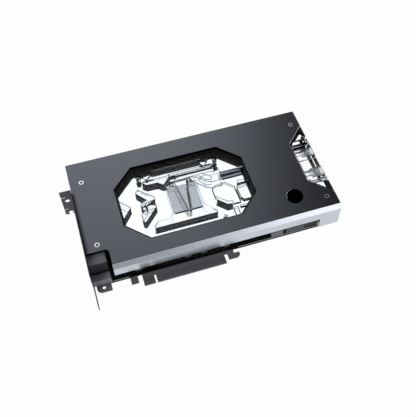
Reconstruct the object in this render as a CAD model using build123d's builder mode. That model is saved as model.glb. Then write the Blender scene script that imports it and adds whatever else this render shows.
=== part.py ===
"""Full-cover water block for a graphics card, assembled on the card.

X runs along the card from the slot bracket to the port end, Y from the edge connector to the far side, Z up.
The origin is under the centre of the cover's window, on the underside of the backplate. Millimetres.
"""
from build123d import *
import os

os.makedirs("parts", exist_ok=True)

# Thicknesses of the stack, from the backplate up to the cover
backplate_thickness = 2.0
backplate_gap = 1.0
board_thickness = 1.6
package_thickness = 1.4
die_thickness = 0.8
paste_thickness = 0.1
memory_thickness = 1.2
memory_pad = 1.0
stage_thickness = 0.9
stage_pad = 1.0
choke_height = 7.0
choke_pad = 0.8
slab_thickness = 7.0
flow_thickness = 11.3
cover_thickness = 3.0

# Heights that follow from the stack
board_bottom = backplate_thickness + backplate_gap
board_top = board_bottom + board_thickness
die_top = board_top + package_thickness + die_thickness
pedestal_bottom = die_top + paste_thickness
memory_rail_bottom = board_top + memory_thickness + memory_pad
stage_rail_bottom = board_top + stage_thickness + stage_pad
slab_bottom = board_top + choke_height + choke_pad
slab_top = slab_bottom + slab_thickness
cover_bottom = slab_top + flow_thickness
cover_top = cover_bottom + cover_thickness

# Cover plate
cover_length = 258.0
cover_width = 131.4
cover_left = -round(cover_length * 112 / 258, 2)
cover_front = -round(cover_width * 0.47643, 2)
cover_right = cover_left + cover_length
cover_back = cover_front + cover_width
cover_bevel = 0.45
cover_corner = 1.2
window_length = 139.0
window_width = cover_width - 40.8
window_cut = 22.0
notch_length = 21.9
notch_width = 17.8
notch_radius = 3.5
port_notch_depth = 21.0
port_notch_front_reach = 18.4
port_notch_back_reach = 18.4
port_notch_slope = 21.0
port_notch_radius = 4.0

# Round badge let into the cover
badge_x = cover_right - 41.5
badge_y = cover_front + 21.6
badge_diameter = 17.5
badge_thickness = 1.6
badge_recess = 1.0
badge_rim = 0.9
badge_dish = 0.25
badge_clearance = 0.1

# Polished side band
band_left = cover_left + 22.0
band_thickness = 2.0
band_overhang = 3.3
band_drop = 5.3
band_bottom = 17.6
band_flange_width = 8.6
band_leg_length = 21.5
band_leg_bottom = 2.9
band_seam = 0.1

# Cold plate and clear flow plate
block_left = cover_left + 28.0
block_front = cover_front + 10.6
block_back = cover_back - 12.8
cold_plate_right = cover_right - 46.0
flow_plate_right = cover_right - port_notch_depth
block_corner = 5.0
deep = 9.2
shelf = 5.1
middle = 3.6
step = 2.0

# Cooling engine
engine_x = -1.1
engine_y = -0.7
fin_length = 32.0
fin_field = 33.0
fin_height = 2.4
fin_thickness = 0.45
fin_count = 30
engine_cut = 6.2
pedestal_size = 36.0
package_size = 45.0
die_length = 28.0
die_width = 26.0

# Main seal
seal_width = 1.8
seal_depth = 1.6
seal_clearance = 0.1
seal_margin = 3.2
seal_right = cold_plate_right - 12.0
seal_corner = 6.0

# Terminal block and ports
terminal_gap = 0.1
terminal_front = -round(cover_width * 0.223, 2)
terminal_width = round(cover_width * 0.4338, 2)
terminal_top = 33.2
terminal_bottom = 12.9
terminal_edge = 0.8
terminal_corner = 5.0
cradle_rail = 3.0
port_pitch = round(cover_width * 0.21157, 2)
port_z = 23.0
port_radius = 5.72
port_depth = 12.0
passage_radius = 3.5
passage_z = 24.4
inlet_end = 38.0
outlet_end = cover_right - 68.0
gland_depth = 1.2
gland_radius = 5.4
seal_ring_width = 1.6

# Black end frame that carries the terminal and the port end of the cover
frame_gap = 0.3
frame_bottom = 10.0
frame_left = cover_right - 36.6
frame_right = cover_right - 1.0
frame_arm_front = 10.9
frame_arm_back = 9.5
frame_back = cover_back - 2.3
band_flange_right = frame_left - 5.4

# Circuit board
board_left = cover_left + 1.9
board_right = cover_right - 22.0
board_front = cover_front - 2.7
board_back = cover_back - 1.1
corner_tab_right = cover_left + 16.5
corner_tab_drop = 7.8
corner_tab_radius = 5.0
small_tab_left = cover_left + 35.6
small_tab_right = cover_left + 43.05
small_tab_drop = 8.0
fingers_left = cover_left + 47.4
finger_drop = 13.0
short_fingers = 11.45
key_gap = 1.9
key_height = 3.8
long_fingers = 71.45
hook_gap = 3.4
hook_gap_height = 3.0
hook_length = 12.4
hook_drop = 9.9
hook_notch_depth = 4.2
hook_notch_length = 5.5
hook_slope = 2.6
corner_hole_x = cover_left + 8.9
corner_hole_y = board_front - 3.0
corner_hole_radius = 1.75

# Slot bracket
bracket_thickness = 0.86
bracket_bottom = 1.2
bracket_width = 38.7
bracket_top_y = 30.2
bracket_shoulder_y = cover_front - 9.4
bracket_length = 120.0
tongue_width = 10.2
tongue_offset = 2.6
tab_length = 11.7
slot_pitch = 20.32
tab_hole_radius = 2.6
tab_hole_inset = 5.8
tab_slit_width = 1.7
tab_slit_length = 4.2
vent_count = 9
vent_pitch = 6.0
vent_width = 2.6
vent_height = 13.0
vent_z = 28.5

# Display connectors on the bracket
port_housing_length = 18.6
housing_gap = 0.1
stack_front = cover_front + 7.3
stack_width = 14.5
stack_height = 24.6
stack_mouth_width = 11.5
stack_mouth_height = 4.6
low_port_front = cover_front - 2.6
low_port_width = 9.4
low_port_height = 8.0
low_mouth_width = 6.4
low_mouth_height = 2.8
display_width = 16.0
display_height = 7.2
display_mouth_width = 13.6
display_mouth_height = 4.2
display_pitch = 22.0
display_inset = 8.8
display_count = 2
mouth_depth = 12.0
mouth_tongue = 1.2

# Screws
cover_screw_left = ((cover_left + 12.3, cover_back - 27.4), (cover_left + 12.75, cover_front + 25.3))
cover_screw_right = ((cover_right - 10.1, cover_back - 18.7), (cover_right - 10.3, cover_front + 11.6))
cover_screw_head = 2.65
cover_screw_head_height = 2.0
cover_screw_sink = 1.6
screw_shank = 1.5
screw_clearance = 0.15
head_clearance = 0.2
socket_width = 2.5
socket_depth = 1.2
thread_depth = 5.0
standoff_width = 5.5
mount_spacing = 65.0
outer_screw_inset = 6.0
pillar_radius = 3.0
flat_head_radius = 2.8
flat_head_clearance = 0.1
flow_screw_x = (window_length / 2 - 27.7, window_length / 2 - 38.9)
flow_screw_y = (window_width / 2 - 13.0, -window_width / 2 + 4.3)
flow_screw_left = (-window_length / 2 + 17.5, -window_width / 2 + 0.6)
flow_screw_head = 2.75
flow_screw_head_height = 3.0
flow_screw_sink = 6.0
terminal_bolt_sink = 3.4
terminal_bolt_spread = round(cover_width * 0.19026, 2)
ear_length = 9.0
ear_width = 3.6

# Components on the board
memory_length = 14.0
memory_width = 12.0
memory_column = 33.0
memory_pitch = 14.6
memory_row_y = -33.5
memory_row_pitch = 16.0
rail_margin = 0.6
choke_size = 10.0
choke_x = 62.0
choke_count = 7
choke_pitch = 12.5
stage_x = 74.0
stage_length = 5.0
stage_width = 6.0
capacitor_x = 85.0
capacitor_length = 7.3
capacitor_width = 4.3
capacitor_height = 2.8
left_choke_x = -64.0
left_choke_count = 3
left_capacitor_x = -55.0
edge_inductor_y = board_front + 6.0
edge_inductor_width = 9.5
edge_inductor_height = 8.0
edge_inductor_lengths = (12.7, 20.2)
edge_inductor_left = cover_right - 73.0
edge_inductor_gap = 3.1
power_first_x = cover_right - 91.0
power_width = 21.4
power_gap = 1.4
power_count = 2
power_front = board_back - 10.5
power_reach = 1.0
power_height = 12.4
power_wall = 1.2
power_pin_pitch = 4.2
power_cell = 3.2
power_cell_depth = 9.0

# Backplate
backplate_left = cover_left + 8.0
backplate_right = board_right - 2.0
backplate_front = board_front + 2.1
backplate_back = board_back - 2.2
backplate_corner = 4.0
backplate_pad_size = 40.0
rear_pad_length = 18.0
rear_pad_width = 84.0


def octagon(length, width, cut, x=0.0, y=0.0):
    """Corner points of a rectangle about (x, y) with its four corners cut off."""
    half_x, half_y = length / 2, width / 2
    return [
        (x - half_x, y - half_y + cut),
        (x - half_x + cut, y - half_y),
        (x + half_x - cut, y - half_y),
        (x + half_x, y - half_y + cut),
        (x + half_x, y + half_y - cut),
        (x + half_x - cut, y + half_y),
        (x - half_x + cut, y + half_y),
        (x - half_x, y + half_y - cut),
    ]


def span(left, right, front, back):
    """Corner points of an upright rectangle."""
    return [(left, front), (right, front), (right, back), (left, back)]


def near(shapes, x, y, reach=0.6):
    """Those vertices or edges whose centre lies close to (x, y)."""
    return [s for s in shapes if abs(s.center().X - x) < reach and abs(s.center().Y - y) < reach]


def rounded_plate(left, right, front, back, bottom, thickness, corner):
    """A flat plate with rounded corners, as a builder."""
    with BuildPart() as plate:
        with BuildSketch(Plane.XY.offset(bottom)) as outline:
            Polygon(*span(left, right, front, back), align=None)
            fillet(outline.vertices(), corner)
        extrude(amount=thickness)
    return plate


def blocks(places, length, width, bottom, height, bevel=0.0):
    """Equal rectangular blocks at the given places, as a builder."""
    with BuildPart() as group:
        with BuildSketch(Plane.XY.offset(bottom)):
            with Locations(*places):
                Rectangle(length, width)
        extrude(amount=height)
        if bevel > 0:
            chamfer(group.faces().group_by(Axis.Z)[-1].edges(), bevel)
    return group


def column(start, count, pitch, x):
    """Places in a row along Y."""
    return [(x, start + i * pitch) for i in range(count)]


# Places that several pieces share
terminal_y = terminal_front + terminal_width / 2
port_places = (terminal_y + port_pitch / 2, terminal_y - port_pitch / 2)
terminal_left = flow_plate_right + terminal_gap
terminal_right = cover_right
bolt_places = (terminal_y - terminal_bolt_spread, terminal_y + terminal_bolt_spread)
port_notch_front = terminal_front - port_notch_front_reach
port_notch_back = terminal_front + terminal_width + port_notch_back_reach
flow_screw_places = [(-flow_screw_x[0], flow_screw_y[0]), *zip(flow_screw_x, flow_screw_y), flow_screw_left]
outer_screw_x = cold_plate_right - outer_screw_inset
outer_screw_places = [
    (outer_screw_x, block_front + outer_screw_inset),
    (outer_screw_x, block_back - outer_screw_inset),
]
stack_back = stack_front + stack_width
display_fronts = [stack_back + display_inset + i * display_pitch for i in range(display_count)]
ear_places = [front + (display_width + display_pitch) / 2 for front in display_fronts]
mount_half = mount_spacing / 2
mount_places = [(engine_x + sx * mount_half, engine_y + sy * mount_half) for sx in (-1, 1) for sy in (-1, 1)]
board_screw_places = mount_places + outer_screw_places
band_face = cover_front - band_overhang
band_inner = band_face + band_thickness
frame_front = band_inner
memory_places = [
    (engine_x + side * memory_column, engine_y + (i - 1.5) * memory_pitch)
    for side in (-1, 1)
    for i in range(4)
]
memory_row_places = [(engine_x + (i - 1) * memory_row_pitch, memory_row_y) for i in range(3)]
choke_first = -(choke_count - 1) * choke_pitch / 2
choke_places = column(choke_first, choke_count, choke_pitch, choke_x)
left_choke_first = -(left_choke_count - 1) * choke_pitch / 2
choke_places += column(left_choke_first, left_choke_count, choke_pitch, left_choke_x)
stage_places = column(choke_first, choke_count, choke_pitch, stage_x)
capacitor_places = column(choke_first, choke_count, choke_pitch, capacitor_x)
capacitor_places += column(left_choke_first, left_choke_count, choke_pitch, left_capacitor_x)
seal_box = (block_left + seal_margin, seal_right, block_front + seal_margin, block_back - seal_margin)

# Outline of the wide notch for the ports in the cover's end
port_notch_points = [
    (cover_right, port_notch_front),
    (cover_right - port_notch_depth, port_notch_front + port_notch_slope),
    (cover_right - port_notch_depth, port_notch_back - port_notch_slope),
    (cover_right, port_notch_back),
    (cover_right + 1, port_notch_back),
    (cover_right + 1, port_notch_front),
]

# Channels milled into the underside of the clear plate: depth and outline of each
channels = [
    # inlet run with the wedge-shaped jet above the fins
    (deep, [(inlet_end + 4, 21.6), (-2.6, 21.6), (-6.4, 18.2), (-6.9, 14.6), (-2.6, -19.6), (-1.8, -20.8),
            (-1.0, -20.8), (0.3, -19.6), (5.0, 13.2), (7.8, 17.4), (15.3, 17.4), (25.1, 7.5), (30.0, 5.0),
            (inlet_end + 4, 5.0)]),
    # collecting run: over the fins on both sides of the jet, and along the front edge
    (deep, [(-17.6, 14.4), (-17.6, -19.4), (-22.7, -25.6), (-35.1, -25.6), (-40.3, -30.8), (-40.3, -32.9),
            (25.3, -32.9), (25.3, -30.8), (14.9, -19.6), (14.9, 15.2), (8.3, 15.2), (6.4, 12.8), (1.7, -20.2),
            (-0.4, -22.2), (-2.4, -22.2), (-4.0, -20.2), (-8.4, 14.4)]),
    # stepped groove above the left half, and the shelf behind the inlet run
    (deep, [(-39.5, 24.8), (-35.5, 21.2), (-23.8, 20.8), (-18.6, 16.0), (-9.9, 25.4), (-9.9, 26.6),
            (-37.6, 26.6)]),
    (shelf, [(-9.9, 25.4), (-8.6, 26.6), (35.0, 26.6), (38.0, 24.6), (40.0, 25.8), (37.0, 30.0), (-9.9, 30.0)]),
    # long groove along the far edge
    (deep, [(-26.8, 37.7), (27.3, 37.7), (25.0, 41.4), (-24.6, 41.4)]),
    # upper arm of the chevron with its hook, and the lower arm
    (deep, [(-49.4, 14.2), (-46.0, 17.9), (-31.9, 4.6), (-31.6, 1.2), (-38.0, 0.0), (-42.0, -1.2),
            (-43.8, -4.0), (-45.6, -4.6), (-47.6, -2.6), (-45.4, 0.6), (-40.2, 3.0)]),
    (deep, [(-32.0, -7.4), (-47.3, -23.5), (-49.4, -21.6), (-49.2, -13.8), (-40.2, -4.2), (-33.4, -5.0)]),
    # arrow at the left end
    (deep, [(-57.8, -1.6), (-69.0, 11.0), (-74.0, 16.0), (-74.0, -19.6), (-69.2, -15.0)]),
    # small triangles beside the far screws
    (step, [(22.8, 39.4), (29.4, 31.0), (35.4, 37.0)]),
    (step, [(-38.4, 36.9), (-33.5, 31.0), (-25.5, 38.4)]),
    # six-sided chamber on the right, and the groove along its slanted side
    (step, [(29.0, -0.7), (29.0, -15.6), (38.7, -25.2), (52.6, -25.2), (52.4, -5.2), (44.0, 3.4),
            (34.0, 2.2)]),
    (deep, [(28.8, -14.0), (38.7, -23.6), (43.4, -24.2), (43.4, -27.4), (37.8, -27.4), (28.8, -18.2)]),
    (step, [(43.0, -30.0), (47.6, -30.0), (47.6, -49.0), (43.0, -49.0)]),
    # outlet run to the port, and the pockets on both sides of it
    (middle, [(54.2, -7.0), (56.2, -5.2), (outlet_end + 4, -5.2), (outlet_end + 4, -23.8), (56.6, -23.8),
              (54.2, -20.2)]),
    (middle, [(55.8, -2.6), (68.0, -2.6), (68.0, 0.6), (57.6, 0.6)]),
    (step, [(50.5, -29.2), (59.0, -29.2), (59.0, -31.4), (50.5, -31.4)]),
]
# Post left standing in the inlet run
inlet_post = [(18.0, 18.4), (24.6, 18.6), (32.8, 10.4), (30.6, 8.2), (25.4, 9.6)]

# Cover plate
with BuildPart() as cover_plate:
    with BuildSketch(Plane.XY.offset(cover_bottom)) as cover_sketch:
        Polygon(*span(cover_left, cover_right, cover_front, cover_back), align=None)
        fillet(cover_sketch.vertices(), cover_corner)
        Polygon(*octagon(window_length, window_width, window_cut), align=None, mode=Mode.SUBTRACT)
        Polygon(*port_notch_points, align=None, mode=Mode.SUBTRACT)
        Polygon(
            *span(cover_left - 1, cover_left + notch_length, cover_front - 1, cover_front + notch_width),
            align=None,
            mode=Mode.SUBTRACT,
        )
        fillet(
            near(cover_sketch.vertices(), cover_left + notch_length, cover_front + notch_width),
            notch_radius,
        )
        for corner_x, corner_y in port_notch_points[1:3]:
            fillet(near(cover_sketch.vertices(), corner_x, corner_y), port_notch_radius)
    extrude(amount=cover_thickness)
    chamfer(cover_plate.faces().sort_by(Axis.Z)[-1].edges(), cover_bevel)
    with Locations(*[(x, y, cover_top) for x, y in cover_screw_left + cover_screw_right]):
        CounterBoreHole(screw_shank + screw_clearance, cover_screw_head + head_clearance, cover_screw_sink)
    with BuildSketch(Plane.XY.offset(cover_top - badge_recess)):
        with Locations((badge_x, badge_y)):
            Circle(badge_diameter / 2 + badge_clearance)
    extrude(amount=badge_recess + 1, mode=Mode.SUBTRACT)
cover_plate.part.label = "cover_plate"
export_step(cover_plate.part, "parts/cover_plate.step")

# Badge: a plain disc with a raised rim
with BuildPart() as badge:
    with BuildSketch(Plane.XY.offset(cover_top - badge_recess)):
        with Locations((badge_x, badge_y)):
            Circle(badge_diameter / 2)
    extrude(amount=badge_thickness)
    chamfer(badge.faces().sort_by(Axis.Z)[-1].edges(), badge_rim / 3)
    with BuildSketch(Plane.XY.offset(cover_top - badge_recess + badge_thickness - badge_dish)):
        with Locations((badge_x, badge_y)):
            Circle(badge_diameter / 2 - badge_rim)
    extrude(amount=badge_dish + 1, mode=Mode.SUBTRACT)
badge.part.label = "badge"
export_step(badge.part, "parts/badge.step")

# Side band: sloped shoulder, upright face, a flange under the cover and a leg at the port end
flange_bottom = cover_bottom - band_thickness
with BuildPart() as side_band:
    with BuildSketch(Plane.YZ.offset(band_left)):
        Polygon(
            (cover_front - band_seam, cover_top),
            (band_face, cover_top - band_drop),
            (band_face, band_bottom),
            (band_inner, band_bottom),
            (band_inner, flange_bottom - band_seam),
            (cover_front + band_flange_width, flange_bottom - band_seam),
            (cover_front + band_flange_width, cover_bottom - band_seam),
            (cover_front - band_seam, cover_bottom - band_seam),
            align=None,
        )
    extrude(amount=cover_right - band_left)
    flange_front = cover_front - band_seam
    flange_back = cover_front + band_flange_width
    with BuildSketch(Plane.XY.offset(flange_bottom - 1)):
        Polygon(*span(band_flange_right, cover_right + 1, flange_front, flange_back + 1), align=None)
    extrude(amount=band_thickness + 1, mode=Mode.SUBTRACT)
    with BuildSketch(Plane.XY.offset(band_leg_bottom)):
        Polygon(*span(cover_right - band_leg_length, cover_right, band_face, band_inner), align=None)
    extrude(amount=band_bottom - band_leg_bottom)
side_band.part.label = "side_band"
export_step(side_band.part, "parts/side_band.step")

# Clear flow plate with its milled channels
flow_corner_places = [(block_left, block_front), (block_left, block_back)]
with BuildPart() as flow_plate:
    with BuildSketch(Plane.XY.offset(slab_top)) as flow_sketch:
        Polygon(*span(block_left, flow_plate_right, block_front, block_back), align=None)
        for corner_x, corner_y in flow_corner_places:
            fillet(near(flow_sketch.vertices(), corner_x, corner_y), block_corner)
    extrude(amount=flow_thickness)
    for depth, outline in channels:
        with BuildSketch(Plane.XY.offset(slab_top)):
            Polygon(*outline, align=None)
            if outline is channels[0][1]:
                Polygon(*inlet_post, align=None, mode=Mode.SUBTRACT)
        extrude(amount=depth, mode=Mode.SUBTRACT)
    for port_y, passage_end in zip(port_places, (inlet_end, outlet_end)):
        with BuildSketch(Plane.YZ.offset(passage_end)):
            with Locations((port_y, passage_z)):
                Circle(passage_radius)
        extrude(amount=flow_plate_right - passage_end, mode=Mode.SUBTRACT)
    with Locations(*[(x, y, cover_bottom) for x, y in flow_screw_places]):
        CounterBoreHole(screw_shank + screw_clearance, flow_screw_head + head_clearance, flow_screw_sink)
    with BuildSketch(Plane.YZ.offset(flow_plate_right - thread_depth)):
        with Locations(*[(y, passage_z) for y in bolt_places]):
            Circle(screw_shank + screw_clearance)
    extrude(amount=thread_depth, mode=Mode.SUBTRACT)
flow_plate.part.label = "flow_plate"
export_step(flow_plate.part, "parts/flow_plate.step")

# Nickel-plated cold plate: slab, contact rails, pillars, fin pocket and seal groove
fin_pitch = fin_field / fin_count
with BuildPart() as cold_plate:
    with BuildSketch(Plane.XY.offset(slab_bottom)) as slab_sketch:
        Polygon(*span(block_left, cold_plate_right, block_front, block_back), align=None)
        fillet(slab_sketch.vertices(), block_corner)
    extrude(amount=slab_thickness)
    with BuildSketch(Plane.XY.offset(pedestal_bottom)):
        with Locations((engine_x, engine_y)):
            Rectangle(pedestal_size, pedestal_size)
    extrude(amount=slab_bottom - pedestal_bottom)
    with BuildSketch(Plane.XY.offset(memory_rail_bottom)):
        with Locations((engine_x - memory_column, engine_y), (engine_x + memory_column, engine_y)):
            Rectangle(memory_width + rail_margin, memory_length + 3 * memory_pitch)
        with Locations((engine_x, memory_row_y)):
            Rectangle(memory_length + 2 * memory_row_pitch, memory_width + rail_margin)
    extrude(amount=slab_bottom - memory_rail_bottom)
    with BuildSketch(Plane.XY.offset(stage_rail_bottom)):
        with Locations((stage_x, 0)):
            Rectangle(stage_length + rail_margin, stage_width + (choke_count - 1) * choke_pitch)
    extrude(amount=slab_bottom - stage_rail_bottom)
    with BuildSketch(Plane.XY.offset(board_top)):
        with Locations(*board_screw_places):
            Circle(pillar_radius)
    extrude(amount=slab_bottom - board_top)
    with BuildSketch(Plane.XY.offset(slab_top - fin_height)):
        Polygon(
            *octagon(fin_length, fin_field + 2 * engine_cut, engine_cut, engine_x, engine_y),
            align=None,
        )
    extrude(amount=fin_height, mode=Mode.SUBTRACT)
    with BuildSketch(Plane.XY.offset(slab_top - fin_height)):
        with Locations((engine_x, engine_y)):
            with GridLocations(0, fin_pitch, 1, fin_count):
                Rectangle(fin_length - 2 * fin_thickness, fin_thickness)
    extrude(amount=fin_height)
    with BuildSketch(Plane.XY.offset(slab_top - seal_depth)) as groove_sketch:
        Polygon(*span(*seal_box), align=None)
        fillet(groove_sketch.vertices(), seal_corner)
        offset(amount=-(seal_width + 2 * seal_clearance), mode=Mode.SUBTRACT)
    extrude(amount=seal_depth, mode=Mode.SUBTRACT)
    with BuildSketch(Plane.XY.offset(board_top)):
        with Locations(*board_screw_places):
            Circle(screw_shank + screw_clearance)
    extrude(amount=slab_bottom - board_top, mode=Mode.SUBTRACT)
    with BuildSketch(Plane.XY.offset(slab_top - thread_depth)):
        with Locations(*flow_screw_places):
            Circle(screw_shank + screw_clearance)
    extrude(amount=thread_depth, mode=Mode.SUBTRACT)
cold_plate.part.label = "cold_plate"
export_step(cold_plate.part, "parts/cold_plate.step")

# Main seal, pressed into its groove
with BuildPart() as main_seal:
    with BuildSketch(Plane.XY.offset(slab_top - seal_depth)) as seal_sketch:
        Polygon(*span(*seal_box), align=None)
        fillet(seal_sketch.vertices(), seal_corner)
        offset(amount=-seal_clearance, mode=Mode.REPLACE)
        offset(amount=-seal_width, mode=Mode.SUBTRACT)
    extrude(amount=seal_depth)
main_seal.part.label = "main_seal"
export_step(main_seal.part, "parts/main_seal.step")

# Clear terminal block with two threaded ports in its end face
with BuildPart() as terminal_block:
    with BuildSketch(Plane.XY.offset(terminal_bottom)) as terminal_sketch:
        terminal_back = terminal_front + terminal_width
        Polygon(*span(terminal_left, terminal_right, terminal_front, terminal_back), align=None)
        for corner_y in (terminal_front, terminal_back):
            chamfer(near(terminal_sketch.vertices(), terminal_left, corner_y), terminal_corner)
    extrude(amount=terminal_top - terminal_bottom)
    chamfer(terminal_block.faces().sort_by(Axis.Z)[-1].edges(), terminal_edge)
    with BuildSketch(Plane.YZ.offset(terminal_right - port_depth)):
        with Locations(*[(y, port_z) for y in port_places]):
            Circle(port_radius)
    extrude(amount=port_depth, mode=Mode.SUBTRACT)
    with BuildSketch(Plane.YZ.offset(terminal_left)):
        with Locations(*[(y, passage_z) for y in port_places]):
            Circle(passage_radius)
    extrude(amount=terminal_right - terminal_left - port_depth, mode=Mode.SUBTRACT)
    with BuildSketch(Plane.YZ.offset(terminal_left)):
        with Locations(*[(y, passage_z) for y in port_places]):
            Circle(gland_radius)
    extrude(amount=gland_depth, mode=Mode.SUBTRACT)
    with BuildSketch(Plane.YZ.offset(terminal_left)):
        with Locations(*[(y, passage_z) for y in bolt_places]):
            Circle(screw_shank + screw_clearance)
    extrude(amount=terminal_right - terminal_left, mode=Mode.SUBTRACT)
    with BuildSketch(Plane.YZ.offset(terminal_right - terminal_bolt_sink)):
        with Locations(*[(y, passage_z) for y in bolt_places]):
            Circle(flow_screw_head + head_clearance)
    extrude(amount=terminal_bolt_sink, mode=Mode.SUBTRACT)
    with BuildSketch(Plane.YZ.offset(terminal_left)):
        Polygon(
            (terminal_y - terminal_edge, terminal_top),
            (terminal_y, terminal_top - terminal_edge),
            (terminal_y + terminal_edge, terminal_top),
            align=None,
        )
    extrude(amount=terminal_right - terminal_left, mode=Mode.SUBTRACT)
terminal_block.part.label = "terminal_block"
export_step(terminal_block.part, "parts/terminal_block.step")

# Seals in the glands between the terminal and the flow plate
with BuildPart() as port_seals:
    with BuildSketch(Plane.YZ.offset(flow_plate_right)):
        with Locations(*[(y, passage_z) for y in port_places]):
            Circle(gland_radius - seal_clearance)
            Circle(gland_radius - seal_clearance - seal_ring_width, mode=Mode.SUBTRACT)
    extrude(amount=gland_depth + terminal_gap)
port_seals.part.label = "port_seals"
export_step(port_seals.part, "parts/port_seals.step")

# Black end frame: an open cradle under the terminal with two arms that stand on the board
cradle_floor = terminal_bottom
cradle_front = terminal_front - frame_gap
cradle_back = terminal_front + terminal_width + frame_gap
with BuildPart() as end_frame:
    with BuildSketch(Plane.YZ.offset(flow_plate_right + frame_gap)):
        Polygon(
            (frame_front, frame_bottom),
            (frame_front, flange_bottom - 2 * band_seam),
            (cover_front + band_seam, flange_bottom - 2 * band_seam),
            (cover_front + band_seam, cover_bottom),
            (cradle_front, cover_bottom),
            (cradle_front, cradle_floor),
            (cradle_back, cradle_floor),
            (cradle_back, cover_bottom),
            (frame_back, cover_bottom),
            (frame_back, frame_bottom),
            align=None,
        )
    extrude(amount=frame_right - flow_plate_right - frame_gap)
    with BuildSketch(Plane.XY.offset(frame_bottom)):
        Polygon(
            *span(
                flow_plate_right + cradle_rail,
                frame_right - cradle_rail,
                terminal_front + cradle_rail,
                terminal_back - cradle_rail,
            ),
            align=None,
        )
    extrude(amount=cradle_floor - frame_bottom, mode=Mode.SUBTRACT)
    with BuildSketch(Plane.YZ.offset(frame_left)):
        Polygon(
            (frame_front, board_top),
            (frame_front, flange_bottom - 2 * band_seam),
            (cover_front + band_seam, flange_bottom - 2 * band_seam),
            (cover_front + band_seam, cover_bottom),
            (frame_front + frame_arm_front, cover_bottom),
            (frame_front + frame_arm_front, board_top),
            align=None,
        )
        Polygon(*span(frame_back - frame_arm_back, frame_back, board_top, cover_bottom), align=None)
    extrude(amount=flow_plate_right + frame_gap - frame_left)
    with BuildSketch(Plane.XY.offset(board_top - 1)):
        Polygon(*span(board_right, frame_right + 1, board_front - 1, board_back + 1), align=None)
    extrude(amount=frame_bottom - board_top + 1, mode=Mode.SUBTRACT)
    with Locations(*[(x, y, cover_bottom) for x, y in cover_screw_right]):
        Hole(screw_shank + screw_clearance, depth=thread_depth)
end_frame.part.label = "end_frame"
export_step(end_frame.part, "parts/end_frame.step")

# Circuit board with its edge connector
finger_bottom = board_front - finger_drop
short_end = fingers_left + short_fingers
long_start = short_end + key_gap
long_end = long_start + long_fingers
hook_left = long_end + hook_gap
hook_right = hook_left + hook_length
hook_bottom = board_front - hook_drop
board_outline = [
    (board_left, board_back),
    (board_left, board_front - corner_tab_drop),
    (corner_tab_right, board_front - corner_tab_drop),
    (corner_tab_right, board_front),
    (small_tab_left, board_front),
    (small_tab_left, board_front - small_tab_drop),
    (small_tab_right, board_front - small_tab_drop),
    (small_tab_right, board_front),
    (fingers_left, board_front),
    (fingers_left, finger_bottom),
    (short_end, finger_bottom),
    (short_end, board_front - key_height),
    (long_start, board_front - key_height),
    (long_start, finger_bottom),
    (long_end, finger_bottom),
    (long_end, board_front - hook_gap_height),
    (hook_left, board_front - hook_gap_height),
    (hook_left, hook_bottom),
    (hook_right - hook_slope, hook_bottom),
    (hook_right, hook_bottom + hook_slope),
    (hook_right, board_front - hook_notch_depth),
    (hook_right - hook_notch_length, board_front - hook_notch_depth),
    (hook_right - hook_notch_length, board_front),
    (board_right, board_front),
    (board_right, board_back),
]
with BuildPart() as circuit_board:
    with BuildSketch(Plane.XY.offset(board_bottom)) as board_sketch:
        Polygon(*board_outline, align=None)
        fillet(near(board_sketch.vertices(), board_left, board_front - corner_tab_drop), corner_tab_radius)
        with Locations((corner_hole_x, corner_hole_y)):
            Circle(corner_hole_radius, mode=Mode.SUBTRACT)
        with Locations(*board_screw_places):
            Circle(screw_shank + screw_clearance, mode=Mode.SUBTRACT)
    extrude(amount=board_thickness)
circuit_board.part.label = "circuit_board"
export_step(circuit_board.part, "parts/circuit_board.step")

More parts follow.
